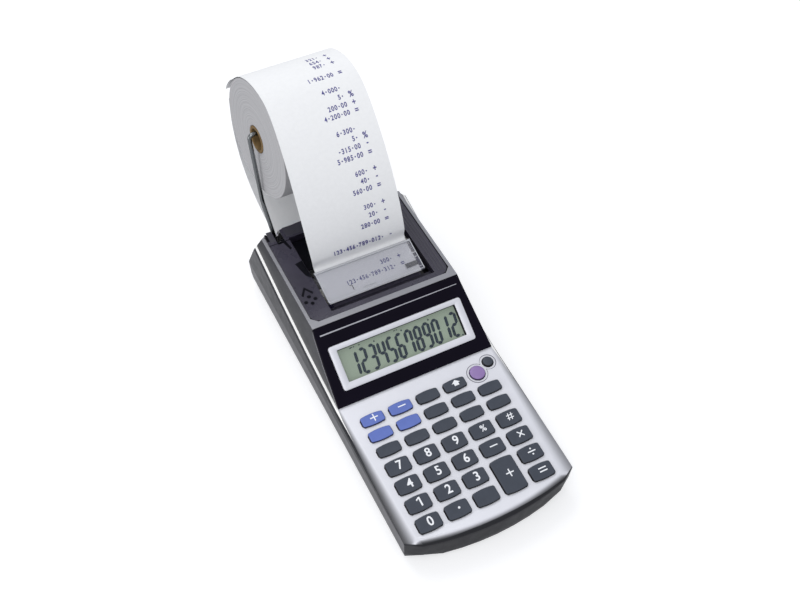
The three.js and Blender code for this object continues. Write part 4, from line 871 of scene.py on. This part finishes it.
make_piece("tear_window", [surface(on_cutter(window_sheet(-3.0, 18.44, 1.1)), 0, False, True)],
           ["cutter"], "case", ["cutter_window"])
saw = window_sheet(17.0, 18.46, 1.14)
lines = bars((0, -2.4, 60.4, 0.35), (0, -0.6, 60.4, 0.22), (-29.9, 7.7, 0.5, 20.4), (29.95, 7.7, 0.5, 20.4),
             (28.3, 6.0, 2.2, 0.4), (27.4, 7.4, 0.4, 3.2), (28.6, 8.9, 2.0, 0.4), (-28.6, 6.5, 0.4, 3.0),
             (-28.0, 8.0, 1.2, 0.4))
dim = bars((-4.0, -0.6, 8.0, 0.35), (-13.6, 1.6, 0.4, 3.4), (-14.3, 3.2, 1.4, 0.4), (24.0, 2.2, 7.5, 3.0))
make_piece("window_lines", [surface(on_cutter(saw), 0, False, True), plates(lines, 1.06, 1.20, on_cutter),
                            plates(dim, 1.06, 1.16, on_cutter, 1)], ["cutter_edge", "mark_clear"], "case")

# Marks and ridges of the printer cover, the lip in front of the cutter window, and a dark plate of painted
# shade in the slot behind the tape
COVER_TOP = 51.8


def on_cover(points):
    """Points of the cover's top, X across and Y along the machine from its middle, Z above its face."""
    return in_frame(np.asarray(points, float) + [0, 0, COVER_TOP])


def chevron(x, y, half, rise, thick):
    """An arrowhead outline pointing to the rear."""
    step, low = half - thick * 0.6, rise + thick * 0.9
    corners = [[-half, -rise], [-step, -low], [0, -thick * 1.5], [step, -low], [half, -rise], [0, 0]]
    return np.array([corners]) + [x, y]


# Marks by finish: their outlines, lower and upper face, and the finish's place in the piece's list
DARK_MARK_AND_SHADE, PALE_BAND, FRONT_LIP = range(3)
slanted = np.array([[[-35.4, 86.5], [-33.4, 86.5], [-31.6, 78.0], [-32.8, 77.0]],
                    [[-32.9, 55.0], [-30.4, 52.0], [-30.4, 66.5], [-35.0, 65.6]]])
dots = np.concatenate([disc(x, y, 1.15, 16) for x, y in
                       ((-37.5, 40.0), (-40.6, 36.8), (-34.7, 37.3), (-37.5, 34.9))])
COVER_MARKS = [
    (chevron(-37.5, 47.6, 3.6, 5.3, 1.4), -0.2, 0.03, DARK_MARK_AND_SHADE),
    (dots, -0.2, 0.03, DARK_MARK_AND_SHADE),
    (bars((-42.0, 91.0, 1.5, 6.0), (-36.6, 84.6, 13.0, 0.5), (-31.7, 60.5, 2.4, 10.5)),
     -0.2, 0.03, DARK_MARK_AND_SHADE),
    (slanted, -0.2, 0.025, DARK_MARK_AND_SHADE),
    (bars((-39.5, 91.0, 3.2, 8.6), (-25.0, 91.2, 12.0, 7.6)), -0.2, 0.02, PALE_BAND),
    (bars((37.2, 56.0, 0.45, 62.0), (38.9, 56.0, 0.45, 62.0), (40.9, 56.0, 0.6, 64.0)),
     -0.2, 0.14, PALE_BAND),
    (bars((1.25, 32.1, 55.5, 3.0)), -6.2, -5.0, FRONT_LIP),
    # Dark plate under the cover's opening behind the tape: painted shade in the slot
    (bars((2.1, 73.7, 64.2, 24.2)), -4.9, -4.6, DARK_MARK_AND_SHADE),
    (bars((-35.2, 85.2, 4.8, 2.4), (35.2, 85.2, 4.8, 2.4)), -7.0, -1.4, DARK_MARK_AND_SHADE),
]
cover_marks = [plates(outline, low, high, on_cover, mark) for outline, low, high, mark in COVER_MARKS]
make_piece("cover_marks", cover_marks, ["mark", "smoked_light", "smoked"], "cover")

# Display: the panel's digits, drawn as seven bars leaning to the right
DIGIT_PITCH = 5.67
FIRST_DIGIT = -29.4
DIGIT_LOW = 11.8
DIGIT_TALL = 14.8
DIGIT_WIDE = 3.2
BAR_WIDTH = 1.72
BAR_GAP = 0.06
DIGIT_LEAN = math.tan(math.radians(4.8))
PANEL_TOP = -2.1
DIGIT_BARS = {"0": "abcdef", "1": "bc", "2": "abged", "3": "abgcd", "4": "fgbc", "5": "afgcd", "6": "afgedc",
              "7": "fabc", "8": "abcdefg", "9": "abcdfg"}


def bar_outlines():
    """The seven bars of a digit, each a six-cornered strip pointed at both ends: (7, 6, 2)."""
    half, mid, high = BAR_WIDTH / 2, DIGIT_TALL / 2, DIGIT_TALL
    low = half
    top = high - half
    right = DIGIT_WIDE

    def strip(x0, y0, x1, y1):
        """Six corners of a bar between two points."""
        along = np.array([x1 - x0, y1 - y0]) / math.hypot(x1 - x0, y1 - y0)
        side = np.array([-along[1], along[0]]) * half
        start = np.array([x0, y0]) + along * BAR_GAP
        end = np.array([x1, y1]) - along * BAR_GAP
        return np.array([start, start + along * half - side, end - along * half - side, end,
                         end - along * half + side, start + along * half + side])

    return dict(zip("abcdefg", [
        strip(0, top, right, top), strip(right, top, right, mid), strip(right, mid, right, low),
        strip(0, low, right, low), strip(0, low, 0, mid), strip(0, mid, 0, top), strip(0, mid, right, mid),
    ]))


BARS = bar_outlines()
number = "123456789012"
outlines = np.concatenate([np.stack([BARS[bar] for bar in DIGIT_BARS[digit]]) + [i * DIGIT_PITCH, 0]
                           for i, digit in enumerate(number)]) + [FIRST_DIGIT - DIGIT_WIDE / 2, DIGIT_LOW]
outlines[..., 0] += (outlines[..., 1] - DIGIT_LOW - DIGIT_TALL / 2) * DIGIT_LEAN
small = np.concatenate([disc(x, y, 0.5, 8) for x, y in
                        ((-14.7, 27.2), (2.3, 27.2), (19.3, 27.2), (35.4, 12.0))])
marks = bars(*[(x, 28.4, width, 0.5) for x, width in
               ((-28.5, 1.6), (-26.8, 0.9), (-23.5, 1.1), (-1.6, 1.0), (-0.2, 0.8))])
# Painted shadow of the frame on the display along its right end and top
shade = bars((36.9, 20.4, 1.0, 18.6), (0.5, 29.75, 73.8, 0.45))
make_piece("display_digits", [plates(outlines, PANEL_TOP - 0.10, PANEL_TOP + 0.10, on_bezel),
                              plates(small, PANEL_TOP - 0.10, PANEL_TOP + 0.10, on_bezel),
                              plates(marks, PANEL_TOP - 0.10, PANEL_TOP + 0.08, on_bezel),
                              plates(shade, PANEL_TOP - 0.10, PANEL_TOP + 0.12, on_bezel, 1)],
           ["lcd_ink", "mark"], "case")


# Wire bail: a round wire along a bent path
def rounded_path(corners, radius, steps=8, run=6):
    """Points along a bent line whose corners are replaced by curves of the second degree."""
    corners = np.asarray(corners, float)
    pieces = [corners[:1]]
    for before, corner, after in zip(corners[:-2], corners[1:-1], corners[2:]):
        into = corner + (before - corner) / np.linalg.norm(before - corner) * radius
        out = corner + (after - corner) / np.linalg.norm(after - corner) * radius
        share = np.linspace(0, 1, steps)[:, None]
        straight = np.linspace(pieces[-1][-1], into, run + 2)[1:-1]
        pieces += [straight, into * (1 - share) ** 2 + corner * 2 * share * (1 - share) + out * share ** 2]
    pieces += [np.linspace(pieces[-1][-1], corners[-1], run + 2)[1:]]
    return np.concatenate(pieces)


def tube(path, radius, across, sides=20):
    """Rings of a round wire: at each point a circle square to the path, kept upright by a fixed direction."""
    along = np.gradient(path, axis=0)
    along /= np.linalg.norm(along, axis=1, keepdims=True)
    side = np.asarray(across, float) - along * (along @ np.asarray(across, float))[:, None]
    side /= np.linalg.norm(side, axis=1, keepdims=True)
    other = np.cross(along, side)
    turn = np.linspace(0, 2 * np.pi, sides, endpoint=False)[None, :, None]
    radii = np.broadcast_to(np.asarray(radius, float), (len(path),))[:, None, None]
    return path[:, None] + radii * (side[:, None] * np.cos(turn) + other[:, None] * np.sin(turn))


def unit(vector):
    """A direction of length one."""
    return np.asarray(vector, float) / np.linalg.norm(vector)


ROLL_AXIS = np.array([math.cos(ROLL_TILT) * math.cos(ROLL_YAW), math.cos(ROLL_TILT) * math.sin(ROLL_YAW),
                      -math.sin(ROLL_TILT)])
ROLL_BACK = unit(np.cross([0, 0, 1], ROLL_AXIS))
ROLL_UP = np.cross(ROLL_AXIS, ROLL_BACK)
WIRE_RADIUS = 1.25
WIRE_HANG = CORE_BORE - WIRE_RADIUS - 0.6


def on_axle(x):
    """The place where the wire lies in the core, at a place across the machine."""
    return ROLL_CENTRE + ROLL_AXIS * (x - ROLL_CENTRE[0]) / ROLL_AXIS[0] + [0, 0, WIRE_HANG]


half_bail = [[on_axle(bend - side * 24.0), on_axle(bend), [side * 37.3, PIVOT_Y + 15.5, PIVOT_Z + 32],
              [side * 35.0, PIVOT_Y, PIVOT_Z]] for side, bend in ((-1, -38.3), (1, 36.5))]
bail_path = rounded_path(half_bail[0] + half_bail[1][::-1], 3.0)
end_round = np.array([0.0, 0.55, 0.85, 1.0]) * WIRE_RADIUS
end_step = WIRE_RADIUS * (1 - np.sqrt(1 - np.array([0.0, 0.55, 0.85, 1.0]) ** 2))
first, last = bail_path[0], bail_path[-1]
first_way, last_way = unit(bail_path[1] - first), unit(bail_path[-2] - last)
bail_path = np.concatenate([first + first_way * end_step[:, None], bail_path[1:-1],
                            last + last_way * end_step[::-1, None]])
bail_radii = np.concatenate([end_round, np.full(len(bail_path) - 8, WIRE_RADIUS), end_round[::-1]])
bail_rings = tube(bail_path, bail_radii, (0, -0.92, 0.38))
make_piece("chrome_bail", [surface(in_frame(bail_rings))], ["chrome"], "bail", ["paper_bail"])


# Paper roll: a closed profile turned about the roll's axis
def about_roll(along, radius, turn):
    """Points by distance along the roll's axis, distance from it and turn from straight back."""
    along, radius, turn = np.broadcast_arrays(along, radius, turn)
    return (ROLL_CENTRE + along[..., None] * ROLL_AXIS
            + (radius * np.cos(turn))[..., None] * ROLL_BACK + (radius * np.sin(turn))[..., None] * ROLL_UP)


def wound_depth(radius):
    """How far a turn of paper stands back from the roll's side: a sum of waves over the radius."""
    waves = ((0.03, 1.3, 0), (0.02, 6.1, 1), (0.03, 11.3, 2))
    return 0.10 + sum(size * np.sin(radius * pace + start) for size, pace, start in waves)


ROLL_COLUMNS = 144
turn = np.linspace(0, 2 * np.pi, ROLL_COLUMNS, endpoint=False)
radii = np.linspace(ROLL_RADIUS - 0.15, CORE_RADIUS + 0.3, 170)
half = PAPER_WIDTH / 2
profile = np.concatenate([
    np.stack([np.linspace(-half + 0.3, half - 0.3, 12), np.full(12, ROLL_RADIUS)], -1),
    np.stack([half - wound_depth(radii), radii], -1),
    np.stack([wound_depth(radii[::-1]) - half, radii[::-1]], -1),
])
roll_rings = about_roll(profile[:, :1], profile[:, 1:], turn[None])
roll = make_piece("wound_paper", [surface(in_frame(roll_rings), 0, True)], ["roll_side_turns_and_shade"], "roll",
                  ["paper_roll"])


def keep_radius(piece):
    """Keeps on a roll's mesh each point's distance from the roll's axis, in metres."""
    away = values(piece.data.vertices, "co", 3) - in_frame(ROLL_CENTRE[None])
    radial = away - (away @ ROLL_AXIS)[:, None] * ROLL_AXIS
    attribute = piece.data.attributes.new("turn_radius", "FLOAT", "POINT")
    attribute.data.foreach_set("value", np.linalg.norm(radial, axis=1))


keep_radius(roll)

turn = np.linspace(0, 2 * np.pi, 64, endpoint=False)
length = PAPER_WIDTH + 0.3
core_profile = np.array([
    [-0.5 * length + 0.2, CORE_RADIUS], [0.5 * length - 0.2, CORE_RADIUS], [0.5 * length, CORE_RADIUS - 0.2],
    [0.5 * length, CORE_BORE + 0.2], [0.5 * length - 0.2, CORE_BORE], [0.2 - 0.5 * length, CORE_BORE],
    [-0.5 * length, CORE_BORE + 0.2], [-0.5 * length, CORE_RADIUS - 0.2]])
core_rings = about_roll(core_profile[:, :1], core_profile[:, 1:], turn[None])
make_piece("card_core", [surface(in_frame(core_rings), 0, True)], ["card"], "roll",
           ["roll_core"])


# Sheets of paper between the case and the roll
def smooth_line(points, count):
    """Points of a line that bends smoothly through all given ones: a cubic piece between neighbours."""
    points = np.asarray(points, float)
    steps = np.linalg.norm(np.diff(points, axis=0), axis=1)
    place = np.concatenate([[0], np.cumsum(steps)])
    slope = np.gradient(points, place, axis=0)
    at = np.linspace(0, place[-1], count)
    i = np.clip(np.searchsorted(place, at, side="right") - 1, 0, len(points) - 2)
    h = (place[i + 1] - place[i])[:, None]
    t = (at - place[i])[:, None] / h
    return ((1 + 2 * t) * (1 - t) ** 2 * points[i] + t * (1 - t) ** 2 * h * slope[i]
            + t * t * (3 - 2 * t) * points[i + 1] + t * t * (t - 1) * h * slope[i + 1])


CUTTER_Y = 52.0
CUTTER_Z = 54.6
FEED_Y = 59.0
FEED_Z = 35.0
FEED_RADIUS = 4.6
REAR_TOP_Y = 96.5
SLOT_Z = 21.6

# Printed tape: where it meets the roll and ends, how far it stands off, and the reach of its rise
TAPE_LEAVES = math.radians(109)
TAPE_TAIL = math.radians(12)
TAPE_STAND_OFF = 0.8
TAPE_SHIFT = 0.74
TAPE_LEAN = math.radians(19.1)
TAPE_LEAN_ASIDE = 0.2
TAPE_FIRST_REACH = 53.9
TAPE_LAST_REACH = 18.5
TAPE_TAIL_LIFT = 4
# Lowest part of the tape in the cutter window's frame: distance up its slope and height
TAPE_UNDER = np.array([(-2.6, -1.1), (1.0, -1.1), (5.0, -1.1), (9.0, -1.1), (13.0, -1.1), (16.4, -1.0),
                       (17.6, -0.7)])


def tape_edge(side, count=170):
    """One edge of the printed tape: under the cutter window, up from its teeth and over the roll.

    It rises on a curve of the third degree and then follows a circle about the roll's axis.
    """
    along = side * PAPER_WIDTH / 2
    start = np.array([along + TAPE_SHIFT, CUTTER_Y + 0.6, CUTTER_Z])
    under = np.concatenate([np.full((len(TAPE_UNDER), 1), along + TAPE_SHIFT), TAPE_UNDER], -1)
    under = tilted(under, *CUTTER_FRONT, CUTTER_ANGLE)
    join = about_roll(along, ROLL_RADIUS + TAPE_STAND_OFF, TAPE_LEAVES)
    first = start + TAPE_FIRST_REACH * np.array([-TAPE_LEAN_ASIDE, -math.sin(TAPE_LEAN), math.cos(TAPE_LEAN)])
    last = join - TAPE_LAST_REACH * (ROLL_BACK * math.sin(TAPE_LEAVES) - ROLL_UP * math.cos(TAPE_LEAVES))
    t = (np.arange(10) / 10)[:, None]
    rise = (1 - t) ** 3 * start + 3 * t * (1 - t) ** 2 * first + 3 * t * t * (1 - t) * last + t ** 3 * join
    share = np.arange(15) / 14
    out = ROLL_RADIUS + TAPE_STAND_OFF - 0.5 * share + TAPE_TAIL_LIFT * np.maximum(0, share - 0.7) / 0.3
    wrap = about_roll(along, out, TAPE_LEAVES + (TAPE_TAIL - TAPE_LEAVES) * share)
    return smooth_line(np.concatenate([under, rise, wrap]), count)


def web_edge(side, count=110):
    """One edge of the supply web: off the back of the roll and down into the rear slot."""
    along = side * PAPER_WIDTH / 2
    leave = about_roll(along, ROLL_RADIUS + 0.3, math.radians(6))
    down = leave + [0, 0.3, -ROLL_RADIUS * 0.6]
    belly = np.array([(leave[0] + along) / 2, 142.0, SLOT_Z + 24.4])
    back = np.array([along, 118.5, SLOT_Z + 0.6])
    slot = np.array([along, REAR_TOP_Y, SLOT_Z + 0.3])
    lip = np.array([along, 84.9, 24.4])
    base = np.array([along, 73.1, 24.4])
    nip = np.array([along, FEED_Y, FEED_Z - FEED_RADIUS - 1.0])
    return smooth_line(np.stack([leave, down, belly, back, slot, lip, base, nip]), count)


def sheet_surface(first, second, columns=12):
    """Points and outward directions of a sheet between two edge lines, on a grid (rows, columns)."""
    share = np.linspace(0, 1, columns)[None, :, None]
    grid = first[:, None] * (1 - share) + second[:, None] * share
    out = np.cross(np.gradient(grid, axis=0), (second - first)[:, None])
    return grid, out / np.linalg.norm(out, axis=-1, keepdims=True)


# The two faces of a sheet, by their distances out of its edge lines
SHEET_FACES = (0.05, 0.20)


def sheet_part(first, second):
    """Part of a piece: a thin closed sheet between two edge lines."""
    grid, out = sheet_surface(first, second)
    near, far = SHEET_FACES
    rings = np.concatenate([grid + out * far, (grid + out * near)[:, ::-1]], 1)
    return surface(in_frame(rings), 0, False, True)


BEND_START = tuple(in_frame([[0, CUTTER_Y + 2, CUTTER_Z]])[0])
BEND_END = tuple(in_frame(about_roll(0.0, ROLL_RADIUS, TAPE_LEAVES)[None])[0])
TAPE_BLEND = ("case", "bail", BEND_START, BEND_END)
tape_edges = tape_edge(1), tape_edge(-1)
make_piece("tape", [sheet_part(*tape_edges)], ["paper"], None, ["printed_tape"], TAPE_BLEND)
web_start = tuple(in_frame([[0, 118.5, SLOT_Z]])[0])
web_end = tuple(in_frame([[0, 140.0, 100.0]])[0])
make_piece("web", [sheet_part(web_edge(1), web_edge(-1))], ["paper"], None, ["supply_web"],
           ("case", "bail", web_start, web_end))


def on_tape(points):
    """Letters laid on the tape: x from its middle to the right, y along it from the cutter, z out of it."""
    first, second = tape_edges
    middle = (first + second) / 2
    place = np.concatenate([[0], np.cumsum(np.linalg.norm(np.diff(middle, axis=0), axis=1))])
    cutter = np.interp(CUTTER_Z, middle[:40, 2], place[:40])
    grid, out = sheet_surface(first, second, 2)
    at = cutter + points[:, 1]
    right, left, right_face, left_face = [np.stack([np.interp(at, place, line[:, k]) for k in range(3)], -1)
                                          for line in (first, second, out[:, 0], out[:, 1])]
    share = points[:, :1] / PAPER_WIDTH + 0.5
    face = left_face * (1 - share) + right_face * share
    return left * (1 - share) + right * share + face * (points[:, 2:] + PRINT_LIFT)


PRINT_LIFT = 0.25
# Printed rows: how far up the tape, where the row ends to the right, its figures and the sign beside it
ROWS = [
    (134.6, 14.2, "321.", "+"), (130.0, 14.2, "654.", "+"), (125.6, 14.2, "987.", "+"),
    (117.1, 14.2, "1.962.00", "="), (108.0, 14.2, "4.000.", ""), (102.9, 14.2, "5.", "%"),
    (98.0, 14.2, "200.00", "+"), (93.3, 14.2, "4.200.00", "="), (83.8, 14.2, "6.300.", ""),
    (78.9, 14.2, "5.", "%"), (74.3, 14.2, "-315.00", "-"), (69.5, 14.2, "5.985.00", "="),
    (60.4, 14.2, "600.", "+"), (55.7, 14.2, "40.", "-"), (50.9, 14.2, "560.00", "="),
    (41.0, 14.2, "300.", "+"), (35.5, 14.2, "20.", "-"), (29.5, 14.2, "280.00", "="),
    (15.8, 14.7, "123.456.789.012.", "-"), (-7.9, 15.6, "300.", "+"), (-13.2, 15.6, "123.456.789.312.", "="),
]
PRINT_PITCH = 1.98
PRINT_HEIGHT = 2.85
SIGN_PLACE = 5.2
PRINT_GLYPHS = {glyph: sign_mesh(glyph, PRINT_HEIGHT / LETTER_SHARE, 0.10, 0.84)
                for glyph in "0123456789+-=%"}
PRINT_GLYPHS["."] = plates(disc(0, 0, 0.42, 10), -0.01, 0.01, lambda points: points)[:2]


# Figures near the cutter: up to where on the tape, how much taller they are, and their lift off the bend
STEEP_REACH = 45
STEEP_TALLER = 1.4
STEEP_LIFT = 0.7


def printed_parts():
    """The printed figures as parts, each row set out to the left from its last figure."""
    parts = []
    for place, right, text, sign in ROWS:
        spots = [(right - PRINT_PITCH * (len(text) - 1 - i), glyph) for i, glyph in enumerate(text)]
        spots += [(right + SIGN_PLACE, sign)] if sign else []
        for x, glyph in spots:
            points, faces = PRINT_GLYPHS[glyph]
            steep = max(0.0, 1 - place / STEEP_REACH) ** 2 if place > 0 else 0
            grow = [1.25, 1.25 + 0.5 * steep, 1] if x > right else [1, 1 + STEEP_TALLER * steep, 1]
            parts.append((in_frame(on_tape(points * grow + [x, place, STEEP_LIFT * steep])), faces, 0))
    return parts


make_piece("tape_figures", printed_parts(), ["print"], None, (), TAPE_BLEND)


# Floor, light and background
FLOOR_GLOW = 0.50
FLOOR_REACH = 6.0


def build_floor():
    """A wide pale floor that keeps the shadow and is white to the camera."""
    material = bpy.data.materials.new("floor")
    material.use_nodes = True
    tree = material.node_tree
    shader = tree.nodes["Principled BSDF"]
    shader_input(shader, "Base Color", (0.62, 0.62, 0.63, 1))
    shader_input(shader, "Roughness", 0.9)
    shader_input(shader, "Specular IOR Level", 0.1)
    rays = tree.nodes.new("ShaderNodeLightPath")
    seen = tree.nodes.new("ShaderNodeMath")
    seen.operation = "MAXIMUM"
    glow = tree.nodes.new("ShaderNodeMath")
    glow.operation = "MULTIPLY"
    glow.inputs[1].default_value = FLOOR_GLOW
    tree.links.new(rays.outputs["Is Camera Ray"], seen.inputs[0])
    tree.links.new(rays.outputs["Is Transmission Ray"], seen.inputs[1])
    tree.links.new(seen.outputs[0], glow.inputs[0])
    shader_input(shader, "Emission Color", (1, 1, 1, 1))
    tree.links.new(glow.outputs[0], shader.inputs["Emission Strength"])
    mesh = bpy.data.meshes.new("floor")
    corners = [(-FLOOR_REACH, -FLOOR_REACH, 0), (FLOOR_REACH, -FLOOR_REACH, 0), (FLOOR_REACH, FLOOR_REACH, 0),
               (-FLOOR_REACH, FLOOR_REACH, 0)]
    mesh.from_pydata(corners, [], [(0, 1, 2, 3)])
    mesh.materials.append(material)
    floor = bpy.data.objects.new("floor", mesh)
    SCENE.collection.objects.link(floor)


def build_world():
    """Soft light from all round; white where the camera or glass looks at it."""
    world = bpy.data.worlds.new("studio")
    SCENE.world = world
    world.use_nodes = True
    tree = world.node_tree
    ambient = tree.nodes["Background"]
    ambient.inputs["Color"].default_value = (0.92, 0.95, 1.0, 1)
    ambient.inputs["Strength"].default_value = 0.58
    white = tree.nodes.new("ShaderNodeBackground")
    white.inputs["Color"].default_value = (1, 1, 1, 1)
    white.inputs["Strength"].default_value = 1.0
    rays = tree.nodes.new("ShaderNodeLightPath")
    seen = tree.nodes.new("ShaderNodeMath")
    seen.operation = "MAXIMUM"
    mix = tree.nodes.new("ShaderNodeMixShader")
    tree.links.new(rays.outputs["Is Camera Ray"], seen.inputs[0])
    tree.links.new(rays.outputs["Is Transmission Ray"], seen.inputs[1])
    tree.links.new(seen.outputs[0], mix.inputs["Fac"])
    tree.links.new(ambient.outputs[0], mix.inputs[1])
    tree.links.new(white.outputs[0], mix.inputs[2])
    tree.links.new(mix.outputs[0], tree.nodes["World Output"].inputs["Surface"])


def soft_box(name, place, target, size, power):
    """A square lamp aimed at a point."""
    lamp = bpy.data.lights.new(name, "AREA")
    lamp.shape = "SQUARE"
    lamp.size = size
    lamp.energy = power
    holder = bpy.data.objects.new(name, lamp)
    SCENE.collection.objects.link(holder)
    back = unit(np.subtract(place, target))
    right = unit(np.cross([0, 0, 1], back) + [1e-6, 0, 0])
    up = np.cross(back, right)
    holder.matrix_world = Matrix([[*axis] for axis in zip(right, up, back, place)] + [[0, 0, 0, 1]])


build_floor()
build_world()
soft_box("rear_light", (-0.10, 0.75, 1.05), (0, 0, 0), 0.8, 4.6)
soft_box("front_light", (-0.35, -0.62, 1.05), (0, 0, 0), 0.8, 4.6)
soft_box("left_light", (-1.0, -0.05, 0.30), (0, 0, 0.03), 0.6, 2.4)

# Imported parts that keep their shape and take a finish
for node, finish_name in {
    "display_window": "clear", "lcd_panel": "lcd", "key_mat": "rubber", "main_board": "board",
    "printer_frame": "black", "feed_roller": "rubber", "feed_gear": "nylon", "motor_pinion": "nylon",
    "type_drum": "nylon", "ink_roller": "ink", "printer_motor": "steel",
}.items():
    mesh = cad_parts[node].data
    mesh.materials.clear()
    mesh.materials.append(FINISHES[finish_name])
